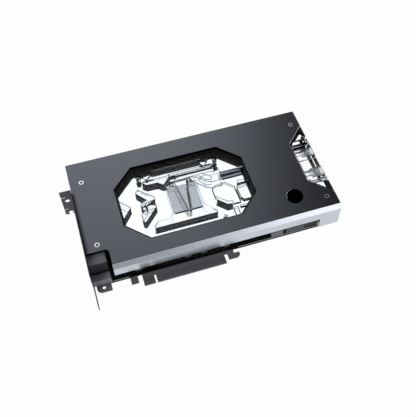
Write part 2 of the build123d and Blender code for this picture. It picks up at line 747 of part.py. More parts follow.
# Slot bracket: face, tongue, folded tab and two ears on the board
bracket_face_x = cover_left
bracket_top_z = bracket_bottom + bracket_width
low_port_back = low_port_front + low_port_width
mouth_spans = [(y, y + display_width, board_top + display_height) for y in display_fronts]
mouth_spans.append((stack_front, stack_back, board_top + stack_height))
mouth_spans.append((low_port_front, low_port_back, board_top + low_port_height))
with BuildPart() as io_bracket:
    with BuildSketch(Plane.YZ.offset(bracket_face_x - bracket_thickness)):
        Polygon(
            (bracket_top_y, bracket_bottom),
            (bracket_top_y, bracket_top_z),
            (bracket_shoulder_y + tongue_offset, bracket_top_z),
            (bracket_shoulder_y, bracket_top_z - tongue_offset),
            (bracket_shoulder_y, bracket_bottom + tongue_width),
            (bracket_top_y - bracket_length, bracket_bottom + tongue_width - tongue_offset / 2),
            (bracket_top_y - bracket_length, bracket_bottom + tongue_offset / 2),
            (bracket_shoulder_y, bracket_bottom),
            align=None,
        )
        for mouth_front, mouth_back, mouth_top in mouth_spans:
            low_y, high_y = mouth_front - housing_gap, mouth_back + housing_gap
            Polygon(*span(low_y, high_y, board_top, mouth_top + housing_gap), align=None, mode=Mode.SUBTRACT)
        with Locations(*[(display_fronts[0] + i * vent_pitch, vent_z) for i in range(vent_count)]):
            Rectangle(vent_width, vent_height, mode=Mode.SUBTRACT)
    extrude(amount=bracket_thickness)
    tab_tip = bracket_face_x - tab_length
    tab_back = bracket_top_y + bracket_thickness
    with BuildSketch(Plane.XY.offset(bracket_bottom)):
        Polygon(*span(tab_tip, bracket_face_x, bracket_top_y, tab_back), align=None)
    extrude(amount=bracket_width)
    tab_hole_x = bracket_face_x - tab_hole_inset
    with BuildSketch(Plane.XZ.offset(-bracket_top_y - bracket_thickness)):
        with Locations((tab_hole_x, bracket_bottom + 2.2), (tab_hole_x, bracket_bottom + 2.2 + slot_pitch)):
            Circle(tab_hole_radius)
        slit_end = tab_tip + tab_slit_length
        half_slit = tab_slit_width / 2
        for slit_z in (bracket_bottom + 8.4, bracket_bottom + 8.4 + slot_pitch):
            Polygon(*span(tab_tip - 1, slit_end, slit_z - half_slit, slit_z + half_slit), align=None)
    extrude(amount=bracket_thickness, mode=Mode.SUBTRACT)
    bracket_back_x = bracket_face_x - bracket_thickness
    with BuildSketch(Plane.XY.offset(board_top)):
        for ear_y in ear_places:
            ear_front, ear_back = ear_y - ear_width / 2, ear_y + ear_width / 2
            Polygon(*span(bracket_back_x, board_left + ear_length, ear_front, ear_back), align=None)
    extrude(amount=bracket_thickness)
io_bracket.part.label = "io_bracket"
export_step(io_bracket.part, "parts/io_bracket.step")


def display_housing(front, width, height, mouth_width, mouth_height, mouth_levels, round_top=0.0):
    """Connector housing with one mouth at each level, as a builder. Each mouth has a contact tongue."""
    left = bracket_face_x - bracket_thickness
    middle_y = front + width / 2
    with BuildPart() as housing:
        with BuildSketch(Plane.XY.offset(board_top)):
            Polygon(*span(left, left + port_housing_length, front, front + width), align=None)
        extrude(amount=height)
        if round_top > 0:
            top_edges = housing.faces().sort_by(Axis.Z)[-1].edges()
            fillet(top_edges.filter_by(Axis.X), round_top)
        with BuildSketch(Plane.YZ.offset(left)):
            with Locations(*[(middle_y, z) for z in mouth_levels]):
                Rectangle(mouth_width, mouth_height)
        extrude(amount=mouth_depth, mode=Mode.SUBTRACT)
        with BuildSketch(Plane.YZ.offset(left + mouth_tongue)):
            with Locations(*[(middle_y, z) for z in mouth_levels]):
                Rectangle(mouth_width * 0.7, mouth_height / 4)
        extrude(amount=mouth_depth - mouth_tongue)
    return housing


stack_levels = (board_top + stack_height * 0.25, board_top + stack_height * 0.75)
stacked_connector = display_housing(
    stack_front, stack_width, stack_height, stack_mouth_width, stack_mouth_height, stack_levels
)
stacked_connector.part.label = "stacked_connector"
export_step(stacked_connector.part, "parts/stacked_connector.step")

low_connector = display_housing(
    low_port_front,
    low_port_width,
    low_port_height,
    low_mouth_width,
    low_mouth_height,
    (board_top + low_port_height / 2,),
    round_top=1.4,
)
low_connector.part.label = "low_connector"
export_step(low_connector.part, "parts/low_connector.step")

for number, display_front in enumerate(display_fronts, start=1):
    display_connector = display_housing(
        display_front,
        display_width,
        display_height,
        display_mouth_width,
        display_mouth_height,
        (board_top + display_height / 2,),
    )
    display_connector.part.label = f"display_connector_{number}"
    export_step(display_connector.part, f"parts/display_connector_{number}.step")

# Graphics package, die and the paste on it
gpu_package = blocks([(engine_x, engine_y)], package_size, package_size, board_top, package_thickness, 0.2)
gpu_package.part.label = "gpu_package"
export_step(gpu_package.part, "parts/gpu_package.step")

gpu_die = blocks([(engine_x, engine_y)], die_length, die_width, board_top + package_thickness, die_thickness)
gpu_die.part.label = "gpu_die"
export_step(gpu_die.part, "parts/gpu_die.step")

thermal_paste = blocks([(engine_x, engine_y)], die_length, die_width, die_top, paste_thickness)
thermal_paste.part.label = "thermal_paste"
export_step(thermal_paste.part, "parts/thermal_paste.step")

# Memory chips and their pads: two columns beside the package and a row in front of it
with BuildPart() as memory_chips:
    with BuildSketch(Plane.XY.offset(board_top)):
        with Locations(*memory_places):
            Rectangle(memory_width, memory_length)
        with Locations(*memory_row_places):
            Rectangle(memory_length, memory_width)
    extrude(amount=memory_thickness)
memory_chips.part.label = "memory_chips"
export_step(memory_chips.part, "parts/memory_chips.step")

with BuildPart() as memory_pads:
    with BuildSketch(Plane.XY.offset(board_top + memory_thickness)):
        with Locations((engine_x - memory_column, engine_y), (engine_x + memory_column, engine_y)):
            Rectangle(memory_width, memory_length + 3 * memory_pitch)
        with Locations((engine_x, memory_row_y)):
            Rectangle(memory_length + 2 * memory_row_pitch, memory_width)
    extrude(amount=memory_pad)
memory_pads.part.label = "memory_pads"
export_step(memory_pads.part, "parts/memory_pads.step")

# Power supply of the card: chokes, power stages, capacitors and the pads that cool them
chokes = blocks(choke_places, choke_size, choke_size, board_top, choke_height, 0.6)
chokes.part.label = "chokes"
export_step(chokes.part, "parts/chokes.step")

with BuildPart() as choke_pads:
    with BuildSketch(Plane.XY.offset(board_top + choke_height)):
        with Locations((choke_x, 0)):
            Rectangle(choke_size - 1.2, choke_size - 1.2 + (choke_count - 1) * choke_pitch)
        with Locations((left_choke_x, 0)):
            Rectangle(choke_size - 1.2, choke_size - 1.2 + (left_choke_count - 1) * choke_pitch)
    extrude(amount=choke_pad)
choke_pads.part.label = "choke_pads"
export_step(choke_pads.part, "parts/choke_pads.step")

power_stages = blocks(stage_places, stage_length, stage_width, board_top, stage_thickness)
power_stages.part.label = "power_stages"
export_step(power_stages.part, "parts/power_stages.step")

with BuildPart() as stage_pads:
    with BuildSketch(Plane.XY.offset(board_top + stage_thickness)):
        with Locations((stage_x, 0)):
            Rectangle(stage_length, stage_width + (choke_count - 1) * choke_pitch)
    extrude(amount=stage_pad)
stage_pads.part.label = "stage_pads"
export_step(stage_pads.part, "parts/stage_pads.step")

capacitors = blocks(capacitor_places, capacitor_width, capacitor_length, board_top, capacitor_height)
capacitors.part.label = "capacitors"
export_step(capacitors.part, "parts/capacitors.step")

with BuildPart() as edge_inductors:
    left_end = edge_inductor_left
    for inductor_length in edge_inductor_lengths:
        with BuildSketch(Plane.XY.offset(board_top)):
            with Locations((left_end + inductor_length / 2, edge_inductor_y)):
                Rectangle(inductor_length, edge_inductor_width)
        extrude(amount=edge_inductor_height)
        left_end += inductor_length + edge_inductor_gap
    chamfer(edge_inductors.faces().group_by(Axis.Z)[-1].edges(), 0.5)
edge_inductors.part.label = "edge_inductors"
export_step(edge_inductors.part, "parts/edge_inductors.step")

# Power sockets at the far edge, each with two rows of four square cells
power_back = board_back + power_reach
for number in range(power_count):
    power_left = power_first_x + number * (power_width + power_gap)
    power_middle = power_left + power_width / 2
    with BuildPart() as power_socket:
        with BuildSketch(Plane.XY.offset(board_top)):
            Polygon(*span(power_left, power_left + power_width, power_front, power_back), align=None)
        extrude(amount=power_height)
        with BuildSketch(Plane.XZ.offset(-power_back)):
            with Locations((power_middle, board_top + power_height / 2)):
                with GridLocations(power_pin_pitch, power_pin_pitch, 4, 2):
                    Rectangle(power_cell, power_cell)
        extrude(amount=power_cell_depth, mode=Mode.SUBTRACT)
    power_socket.part.label = f"power_socket_{number + 1}"
    export_step(power_socket.part, f"parts/power_socket_{number + 1}.step")

# Standoffs that carry the bracket end of the cover
with BuildPart() as standoffs:
    with BuildSketch(Plane.XY.offset(board_top)):
        with Locations(*cover_screw_left):
            RegularPolygon(standoff_width / 2, 6, major_radius=False)
    extrude(amount=cover_bottom - board_top)
    with Locations(*[(x, y, cover_bottom) for x, y in cover_screw_left]):
        Hole(screw_shank + screw_clearance, depth=thread_depth)
standoffs.part.label = "standoffs"
export_step(standoffs.part, "parts/standoffs.step")


def top_screws(places, seat, head_radius, head_height, shank_length):
    """Socket-head screws that point down, seated at height `seat`, as a builder."""
    with BuildPart() as group:
        with BuildSketch(Plane.XY.offset(seat)):
            with Locations(*places):
                Circle(head_radius)
        extrude(amount=head_height)
        with BuildSketch(Plane.XY.offset(seat - shank_length)):
            with Locations(*places):
                Circle(screw_shank)
        extrude(amount=shank_length)
        with BuildSketch(Plane.XY.offset(seat + head_height - socket_depth)):
            with Locations(*places):
                RegularPolygon(socket_width / 2, 6, major_radius=False)
        extrude(amount=socket_depth, mode=Mode.SUBTRACT)
    return group


cover_seat = cover_top - cover_screw_sink
cover_screws = top_screws(
    cover_screw_left + cover_screw_right,
    cover_seat,
    cover_screw_head,
    cover_screw_head_height,
    cover_seat - cover_bottom + thread_depth - 0.5,
)
cover_screws.part.label = "cover_screws"
export_step(cover_screws.part, "parts/cover_screws.step")

flow_seat = cover_bottom - flow_screw_sink
flow_screws = top_screws(
    flow_screw_places,
    flow_seat,
    flow_screw_head,
    flow_screw_head_height,
    flow_seat - slab_top + thread_depth - 0.5,
)
flow_screws.part.label = "flow_screws"
export_step(flow_screws.part, "parts/flow_screws.step")

# Bolts that draw the terminal against the flow plate
bolt_seat = terminal_right - terminal_bolt_sink
bolt_length = bolt_seat - flow_plate_right + thread_depth - 0.5
with BuildPart() as terminal_bolts:
    with BuildSketch(Plane.YZ.offset(bolt_seat)):
        with Locations(*[(y, passage_z) for y in bolt_places]):
            Circle(flow_screw_head)
    extrude(amount=flow_screw_head_height)
    with BuildSketch(Plane.YZ.offset(bolt_seat - bolt_length)):
        with Locations(*[(y, passage_z) for y in bolt_places]):
            Circle(screw_shank)
    extrude(amount=bolt_length)
    with BuildSketch(Plane.YZ.offset(bolt_seat + flow_screw_head_height - socket_depth)):
        with Locations(*[(y, passage_z) for y in bolt_places]):
            RegularPolygon(socket_width / 2, 6, major_radius=False)
    extrude(amount=socket_depth, mode=Mode.SUBTRACT)
terminal_bolts.part.label = "terminal_bolts"
export_step(terminal_bolts.part, "parts/terminal_bolts.step")

# Backplate with countersunk holes, and the pads between it and the board
sink_radius = flat_head_radius + flat_head_clearance
hole_radius = screw_shank + screw_clearance
with BuildPart() as backplate:
    with BuildSketch() as backplate_sketch:
        Polygon(*span(backplate_left, backplate_right, backplate_front, backplate_back), align=None)
        fillet(backplate_sketch.vertices(), backplate_corner)
    extrude(amount=backplate_thickness)
    with Locations(*[(x, y, backplate_thickness / 2) for x, y in board_screw_places]):
        Cone(sink_radius, hole_radius, backplate_thickness, mode=Mode.SUBTRACT)
backplate.part.label = "backplate"
export_step(backplate.part, "parts/backplate.step")

with BuildPart() as backplate_pads:
    with BuildSketch(Plane.XY.offset(backplate_thickness)):
        with Locations((engine_x, engine_y)):
            Rectangle(backplate_pad_size, backplate_pad_size)
        with Locations(((choke_x + stage_x) / 2, 0)):
            Rectangle(rear_pad_length, rear_pad_width)
    extrude(amount=backplate_gap)
backplate_pads.part.label = "backplate_pads"
export_step(backplate_pads.part, "parts/backplate_pads.step")

# Countersunk screws from below, through the backplate and board into the pillars
with BuildPart() as backplate_screws:
    with Locations(*[(x, y, backplate_thickness / 2) for x, y in board_screw_places]):
        Cone(flat_head_radius, screw_shank, backplate_thickness)
    with BuildSketch(Plane.XY.offset(backplate_thickness)):
        with Locations(*board_screw_places):
            Circle(screw_shank)
    extrude(amount=board_top + thread_depth - 0.5 - backplate_thickness)
backplate_screws.part.label = "backplate_screws"
export_step(backplate_screws.part, "parts/backplate_screws.step")
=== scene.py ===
"""Studio scene of a full-cover water block on its graphics card.

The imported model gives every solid. This script gives them their finishes, adds the small parts that the solids
leave out (edge contacts, port threads, pins, small screws, soldered chips) and sets up light and camera.
All lengths in the classes are millimetres. Blender works in metres.
"""
from __future__ import annotations

import logging
import math
from dataclasses import dataclass
from enum import Enum
from typing import Any, Iterable, Optional, Sequence

import bpy
from mathutils import Matrix, Vector

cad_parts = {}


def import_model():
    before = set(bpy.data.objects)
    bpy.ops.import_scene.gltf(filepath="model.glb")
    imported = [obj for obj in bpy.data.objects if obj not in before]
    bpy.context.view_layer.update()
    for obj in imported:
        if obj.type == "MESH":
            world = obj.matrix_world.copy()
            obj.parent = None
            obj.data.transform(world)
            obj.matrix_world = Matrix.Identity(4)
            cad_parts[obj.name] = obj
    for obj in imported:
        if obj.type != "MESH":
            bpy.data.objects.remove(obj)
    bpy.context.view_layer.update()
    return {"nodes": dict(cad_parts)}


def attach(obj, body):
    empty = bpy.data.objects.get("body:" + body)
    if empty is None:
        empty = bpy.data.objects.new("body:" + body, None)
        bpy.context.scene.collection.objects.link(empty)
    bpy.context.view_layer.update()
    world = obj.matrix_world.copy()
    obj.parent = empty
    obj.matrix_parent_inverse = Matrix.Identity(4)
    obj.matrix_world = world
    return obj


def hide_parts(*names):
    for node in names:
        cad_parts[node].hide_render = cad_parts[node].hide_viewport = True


LOG = logging.getLogger("water_block")
MM = 0.001
BODY = "root"
BOARD_BOTTOM, BOARD_TOP = 3.0, 4.6
WHITE = (1.0, 1.0, 1.0, 1.0)
FINE_DETAIL, SOFT_DETAIL = 3.0, 1.0
GLOSS_SPREAD = 0.15
SMOOTH_ANGLE = 35
FACING = 0.9
Flat = tuple[float, float]
Point = tuple[float, float, float]
Box = tuple[Point, Point]
Bore = tuple[float, float, float, float, float]


def hex_colour(code: str) -> tuple[float, float, float, float]:
    """Turn an sRGB hex colour into Blender's linear colour.

    Args:
        code: six hex digits, with or without a leading hash.

    Returns:
        Linear red, green and blue, and an alpha of 1.
    """
    digits = code.lstrip("#")
    channels = [int(digits[i : i + 2], 16) / 255 for i in (0, 2, 4)]
    linear = [c / 12.92 if c <= 0.04045 else ((c + 0.055) / 1.055) ** 2.4 for c in channels]
    return (linear[0], linear[1], linear[2], 1.0)


def add_node(
    tree: bpy.types.NodeTree, kind: str, inputs: Optional[dict[Any, Any]] = None, **settings: Any
) -> bpy.types.Node:
    """Add one shader node, set it and link it.

    Args:
        tree: the node tree that takes the node.
        kind: the node's type name.
        inputs: socket name or number to a value, or to another node's output socket, which is linked.
        settings: the node's own properties.

    Returns:
        The new node.
    """
    node = tree.nodes.new(kind)
    for name, value in settings.items():
        setattr(node, name, value)
    for key, value in (inputs or {}).items():
        socket = node.inputs[key]
        if isinstance(value, bpy.types.NodeSocket):
            tree.links.new(value, socket)
        else:
            socket.default_value = value
    return node


class Grain(Enum):
    """How a surface was made, which decides its relief."""

    BLASTED = "blasted"
    BRUSHED = "brushed"
    MOULDED = "moulded"
    POLISHED = "polished"
    PRESSED = "pressed"


@dataclass(frozen=True)
class Ramp:
    """A change from one level to another along one axis."""

    axis: str
    start: float
    end: float
    low: float = 0.0
    high: float = 1.0
    kind: str = "SMOOTHSTEP"

    def values(self, axes: bpy.types.Node, unit: float = 1.0) -> dict[str, Any]:
        """Give the inputs of the node that draws the ramp.

        Args:
            axes: the node that separates the coordinates.
            unit: the length that start and end are given in.

        Returns:
            Socket name to value or socket.
        """
        return {
            "Value": axes.outputs[self.axis],
            "From Min": self.start * unit,
            "From Max": self.end * unit,
            "To Min": self.low,
            "To Max": self.high,
        }


@dataclass(frozen=True)
class Finish:
    """One surface finish: its colour, its gloss and the relief that its making leaves."""

    name: str
    colour: str
    metallic: float = 0.0
    roughness: float = 0.45
    grain: Grain = Grain.MOULDED
    grain_mm: float = 0.35
    relief_mm: float = 0.01
    shade: float = 0.10
    ior: float = 1.5

    def start(self) -> tuple[bpy.types.Material, bpy.types.NodeTree, bpy.types.Node]:
        """Make an empty node material with its output.

        Returns:
            The material, its node tree and its output node.
        """
        material = bpy.data.materials.new(self.name)
        material.use_nodes = True
        tree = material.node_tree
        tree.nodes.clear()
        return material, tree, add_node(tree, "ShaderNodeOutputMaterial")

    def pattern(self, tree: bpy.types.NodeTree) -> bpy.types.NodeSocket:
        """Add the grain's pattern on Object coordinates.

        Args:
            tree: the material's node tree.

        Returns:
            The pattern's socket, from 0 to 1.
        """
        place = add_node(tree, "ShaderNodeTexCoord")
        # brush lines run along the card, some 40 times as long as they are wide
        stretch = (0.025, 1.0, 1.0) if self.grain is Grain.BRUSHED else (1.0, 1.0, 1.0)
        placed = {"Vector": place.outputs["Object"], "Scale": stretch}
        scaled = add_node(tree, "ShaderNodeMapping", placed, vector_type="POINT")
        # real grit and brush lines are some 0.1 mm or less. They are drawn up to a few times coarser, yet most
        # stay finer than a pixel of the photo's view, about 1 mm, and blend into an even sheen there
        size = {"Vector": scaled.outputs["Vector"], "Scale": 1 / (self.grain_mm * MM), "Detail": FINE_DETAIL}
        return add_node(tree, "ShaderNodeTexNoise", size).outputs["Fac"]

    def build(self) -> bpy.types.Material:
        """Build the material.

        Returns:
            The finished material.
        """
        material, tree, output = self.start()
        fac = self.pattern(tree)
        base = hex_colour(self.colour)
        dark = tuple(c * (1 - self.shade) for c in base[:3]) + (1.0,)
        light = tuple(min(1.0, c * (1 + self.shade)) for c in base[:3]) + (1.0,)
        tint = add_node(tree, "ShaderNodeMix", {0: fac, 6: dark, 7: light}, data_type="RGBA")
        matte = self.roughness * (1 - GLOSS_SPREAD), min(1.0, self.roughness * (1 + GLOSS_SPREAD))
        gloss = add_node(tree, "ShaderNodeMapRange", {"Value": fac, "To Min": matte[0], "To Max": matte[1]})
        relief = {"Height": fac, "Strength": 0.6, "Distance": self.relief_mm * MM}
        bump = add_node(tree, "ShaderNodeBump", relief)
        look = {
            "Base Color": tint.outputs[2],
            "Metallic": self.metallic,
            "Roughness": gloss.outputs["Result"],
            "IOR": self.ior,
            "Normal": bump.outputs["Normal"],
        }
        shader = add_node(tree, "ShaderNodeBsdfPrincipled", look)
        tree.links.new(shader.outputs["BSDF"], output.inputs["Surface"])
        return material


@dataclass(frozen=True)
class ClearFinish(Finish):
    """Clear plastic that light passes through and bends in.

    Cast acrylic has an IOR of 1.49. The walls of bores and channels are given less, so that they show as weakly
    as the real ones do. That is no property of the plastic.
    """

    roughness: float = 0.0
    grain_mm: float = 15.0
    relief_mm: float = 0.02
    sheen: str = "#606060"

    def build(self) -> bpy.types.Material:
        """Build the material.

        Returns:
            The finished material.
        """
        material, tree, output = self.start()
        # polishing leaves a very weak waviness, too long to see except in the reflections
        place = add_node(tree, "ShaderNodeTexCoord")
        size = {"Vector": place.outputs["Object"], "Scale": 1 / (self.grain_mm * MM), "Detail": SOFT_DETAIL}
        fac = add_node(tree, "ShaderNodeTexNoise", size).outputs["Fac"]
        relief = {"Height": fac, "Strength": 0.1, "Distance": self.relief_mm * MM}
        bump = add_node(tree, "ShaderNodeBump", relief)
        look = {
            "Base Color": hex_colour(self.colour),
            "Roughness": self.roughness,
            "IOR": self.ior,
            "Specular Tint": hex_colour(self.sheen),
            "Transmission Weight": 1.0,
            "Normal": bump.outputs["Normal"],
        }
        shader = add_node(tree, "ShaderNodeBsdfPrincipled", look)
        tree.links.new(shader.outputs["BSDF"], output.inputs["Surface"])
        return material


@dataclass(frozen=True)
class SolderMask(Finish):
    """Circuit board surface: dark solder mask over copper tracks, which show as a faint relief. Behind the front
    edge it is painted near black: painted shade.
    """

    track_mm: float = 1.6
    track_relief_mm: float = 0.02
    painted_shade_edge: Ramp = Ramp("Y", -65.35, -65.30, kind="LINEAR")
    painted_shade_colour: str = "#0c0c0e"

    def build(self) -> bpy.types.Material:
        """Build the material.

        Returns:
            The finished material.
        """
        material, tree, output = self.start()
        place = add_node(tree, "ShaderNodeTexCoord")
        # a real track is 0.2 mm wide; drawn as coarse as it needs to show
        layout = {
            "Vector": place.outputs["Object"],
            "Scale": 1 / (self.track_mm * MM),
            "Color1": WHITE,
            "Color2": (0.82, 0.82, 0.82, 1.0),
            "Mortar": (0.55, 0.55, 0.55, 1.0),
            "Mortar Size": 0.08,
            "Brick Width": 2.2,
            "Row Height": 0.6,
        }
        tracks = add_node(tree, "ShaderNodeTexBrick", layout)
        grain = self.pattern(tree)
        tint = add_node(
            tree,
            "ShaderNodeMix",
            {0: 0.25, 6: hex_colour(self.colour), 7: tracks.outputs["Color"]},
            data_type="RGBA",
            blend_type="MULTIPLY",
        )
        # painted shade: behind the board's front edge the board is painted near black, for the shade under the
        # band; tabs and fingers beyond it keep the board's grey
        axes = add_node(tree, "ShaderNodeSeparateXYZ", {0: place.outputs["Object"]})
        shaded_share = add_node(tree, "ShaderNodeMapRange", self.painted_shade_edge.values(axes, MM)).outputs[0]
        both = {0: shaded_share, 6: tint.outputs[2], 7: hex_colour(self.painted_shade_colour)}
        tint = add_node(tree, "ShaderNodeMix", both, data_type="RGBA")
        normal: dict[str, Any] = {}
        for height, depth in ((tracks.outputs["Fac"], self.track_relief_mm), (grain, self.relief_mm)):
            relief = {"Height": height, "Strength": 0.3, "Distance": depth * MM, **normal}
            normal = {"Normal": add_node(tree, "ShaderNodeBump", relief).outputs["Normal"]}
        look = {"Base Color": tint.outputs[2], "Roughness": self.roughness, "IOR": self.ior, **normal}
        shader = add_node(tree, "ShaderNodeBsdfPrincipled", look)
        tree.links.new(shader.outputs["BSDF"], output.inputs["Surface"])
        return material


@dataclass(frozen=True)
class CoverFinish(Finish):
    """Satin anodised plate whose cut walls and underside are painted plain black: painted shade."""

    wall_shade_colour: str = "#0b0b0c"
    top: Ramp = Ramp("Z", 33.1, 33.2, kind="LINEAR")
    left_edge_shade: Ramp = Ramp("X", -112.0, -107.0, 0.16, 1.0)
    left_edge_shade_end: Ramp = Ramp("Y", 24.0, 34.0)

    def build(self) -> bpy.types.Material:
        """Build the material.

        Returns:
            The finished material.
        """
        material = super().build()
        tree = material.node_tree
        shader = next(node for node in tree.nodes if node.type == "BSDF_PRINCIPLED")
        satin = shader.inputs["Base Color"].links[0].from_socket
        place = add_node(tree, "ShaderNodeTexCoord")
        axes = add_node(tree, "ShaderNodeSeparateXYZ", {0: place.outputs["Object"]})
        # painted shade: the plate is darkened along its left edge, next to the bracket
        top, across, along = (
            add_node(tree, "ShaderNodeMapRange", ramp.values(axes, MM), interpolation_type=ramp.kind).outputs[0]
            for ramp in (self.top, self.left_edge_shade, self.left_edge_shade_end)
        )
        # below the top, the cut walls and underside take the black: painted shade
        colour = add_node(
            tree, "ShaderNodeMix", {0: top, 6: hex_colour(self.wall_shade_colour), 7: satin}, data_type="RGBA"
        )
        level = add_node(tree, "ShaderNodeMath", {0: across, 1: along}, operation="MAXIMUM")
        both = {0: colour.outputs[2], "Scale": level.outputs[0]}
        shaded = add_node(tree, "ShaderNodeVectorMath", both, operation="SCALE")
        tree.links.new(shaded.outputs[0], shader.inputs["Base Color"])
        return material


# Finishes, each named for the real one. The comment says what it gives the eye.
# satin plate, nearly even, that takes the sky's fade from left to right
COVER = CoverFinish("anodised_aluminium_graphite", "#6b6e74", 1.0, 0.235, Grain.BLASTED, 0.25, 0.004, 0.06)
# painted shade: a thin black line along the window's near edges, for the dark reflection of the window's wall
WINDOW_EDGE_SHADE = Finish("cover_edge_painted_shade", "#08080a", 0.0, 0.5, Grain.BLASTED, 0.25, 0.002, 0.1)
# fine lines along the card draw the reflections out lengthwise
BAND = Finish("brushed_aluminium_silver", "#e2e7f0", 1.0, 0.20, Grain.BRUSHED, 0.12, 0.004, 0.05)
# the same brushing on the band's front face, rougher, and painted lighter than the rest of the band: painted
# light
BAND_FACE_LIT = Finish("brushed_aluminium_face_painted_light", "#ebf0fa", 1.0, 0.31, Grain.BRUSHED, 0.12, 0.004, 0.05)
# a mirror with a little grey in it, which holds the walls' images
NICKEL = Finish("bright_nickel_plate", "#f6f6f6", 0.84, 0.04, Grain.POLISHED, 6.0, 0.001, 0.01)
# cut fins scatter more than the flat plate: an even pale grey field
FIN_NICKEL = Finish("skived_fin_nickel", "#eef1f6", 1.0, 0.08, Grain.BRUSHED, 0.3, 0.001, 0.02)
# clear as glass, with sharp edges and bent images
ACRYLIC = ClearFinish("cast_acrylic_clear", "#fbfdff", ior=1.49)
# walls that hardly show
POLISHED_BORE = ClearFinish("acrylic_bore_polished", "#fbfdff", ior=1.04)
# channel walls that bend light softly and don't mirror the room
WETTED = ClearFinish("acrylic_channel_wall", "#fbfdff", ior=1.12)
# tool rings blur the port bores to a light grey
DRILLED = ClearFinish("acrylic_bore_drilled", "#c4c8ce", roughness=0.3, grain_mm=1.3, relief_mm=0.05, ior=1.2)
# a long drilled hole, frosted by the drill and tinted dark grey as painted shade: seen from the side as a dark
# grey band
PASSAGE = ClearFinish(
    "acrylic_passage_painted_shade", "#83878e", roughness=0.22, grain_mm=1.3, relief_mm=0.05, ior=1.25
)
# cords along the channels' ceiling edges, broad and black, fine and grey, and bright: painted shade and painted
# highlight for the lines that the plate's refraction draws there
EDGE_LINE_SHADE = Finish("acrylic_edge_painted_shade", "#0b0c0d", 0.0, 0.7, Grain.PRESSED, 0.4, 0.01, 0.15)
EDGE_LINE_GREY_SHADE = Finish("acrylic_edge_painted_grey_shade", "#77797d", 0.0, 0.7, Grain.PRESSED, 0.4, 0.01, 0.15)
EDGE_LINE_HIGHLIGHT = Finish("acrylic_edge_painted_highlight", "#f4f6f8", 0.2, 0.35, Grain.POLISHED, 0.4, 0.002, 0.03)
# machined black plastic with a low satin gloss
ACETAL = Finish("acetal_black", "#141415", 0.0, 0.42, Grain.BRUSHED, 0.4, 0.006, 0.15)
# dull black that shows no reflection
RUBBER = Finish("nitrile_rubber", "#101010", 0.0, 0.6, Grain.MOULDED, 0.3, 0.01, 0.2)
# a black mirror, darker than the plate around it
BADGE = Finish("black_chrome_disc", "#060607", 1.0, 0.16, Grain.POLISHED, 2.0, 0.001, 0.1)
# screw heads: bright with soft glints; plain bright, a lighter copy painted on the near flow screws as painted
# light; sharp bright; and dull black
STEEL = Finish("zinc_plated_steel", "#d6d8da", 1.0, 0.24, Grain.PRESSED, 0.3, 0.005, 0.1)
LIT_STEEL = Finish("steel_screw_painted_light", "#f2f3f4", 0.6, 0.4, Grain.PRESSED, 0.3, 0.003, 0.05)
POLISHED_STEEL = Finish("polished_steel_screw", "#f6f7f8", 1.0, 0.22, Grain.PRESSED, 0.3, 0.002, 0.03)
BLACK_STEEL = Finish("black_oxide_steel", "#1b1b1c", 0.7, 0.38, Grain.PRESSED, 0.3, 0.006, 0.2)
# dark metal sheet with a faint streak along its length
BRACKET = Finish("black_nickel_bracket", "#5c5e62", 0.85, 0.36, Grain.BRUSHED, 0.3, 0.004, 0.12)
BACKPLATE = Finish("anodised_aluminium_black", "#1a1b1d", 0.9, 0.4, Grain.BRUSHED, 0.3, 0.004, 0.12)
# solder mask: even, half matte, with the tracks as a faint relief
BOARD = SolderMask("solder_mask_dark", "#84868b", 0.0, 0.42, Grain.MOULDED, 0.3, 0.004)
# moulded housings: even and half matte, black, dark and grey. The grey is the top of the tall connector, painted
# lighter than its dark sides: painted light
HOUSING = Finish("connector_nylon_black", "#1d1e20", 0.0, 0.48, Grain.MOULDED, 0.3, 0.01, 0.15)
STACK_SIDE = Finish("connector_side_dark", "#3e3f43", 0.0, 0.5, Grain.MOULDED, 0.3, 0.006, 0.1)
STACK_TOP_LIT = Finish("connector_top_painted_light", "#8a8c91", 0.0, 0.5, Grain.MOULDED, 0.3, 0.006, 0.08)
# pressed sheet round the connectors, dark or tinned, with blurred reflections
SHELL = Finish("pressed_shell_dark", "#4a4b4f", 0.85, 0.32, Grain.PRESSED, 0.5, 0.004, 0.1)
LOW_SHELL = Finish("tinned_shell_grey", "#b4b6bd", 0.2, 0.45, Grain.PRESSED, 0.5, 0.004, 0.08)
# resin bodies with a very fine dull texture
CHIP = Finish("epoxy_moulding_black", "#19191b", 0.0, 0.55, Grain.MOULDED, 0.15, 0.008, 0.2)
MOULDED_GREY = Finish("epoxy_moulding_grey", "#727479", 0.0, 0.5, Grain.MOULDED, 0.15, 0.006, 0.1)
CAN = Finish("capacitor_epoxy", "#33312c", 0.0, 0.45, Grain.MOULDED, 0.3, 0.006, 0.1)
PACKAGE = Finish("package_laminate_green", "#23432e", 0.0, 0.4, Grain.MOULDED, 0.8, 0.004, 0.1)
# pressed powder: dull and finely speckled. The pale grey is painted light, on the nearer inductor and on the
# driver chips
PALE_GREY_LIT = Finish("pale_grey_painted_light", "#9a9ca1", 0.0, 0.55, Grain.PRESSED, 0.2, 0.008, 0.1)
POWDER = Finish("pressed_iron_powder", "#3c3d40", 0.1, 0.5, Grain.PRESSED, 0.2, 0.01, 0.2)
# a dark mirror, which only the die has
SILICON = Finish("polished_silicon", "#4a4e57", 0.6, 0.08, Grain.POLISHED, 3.0, 0.001, 0.05)
# soft and uneven: spread paste, and matte pads
PASTE = Finish("thermal_paste_grey", "#9b9da0", 0.0, 0.5, Grain.MOULDED, 1.2, 0.03, 0.1)
PAD = Finish("silicone_pad_grey", "#8d9298", 0.0, 0.7, Grain.MOULDED, 0.5, 0.02, 0.08)
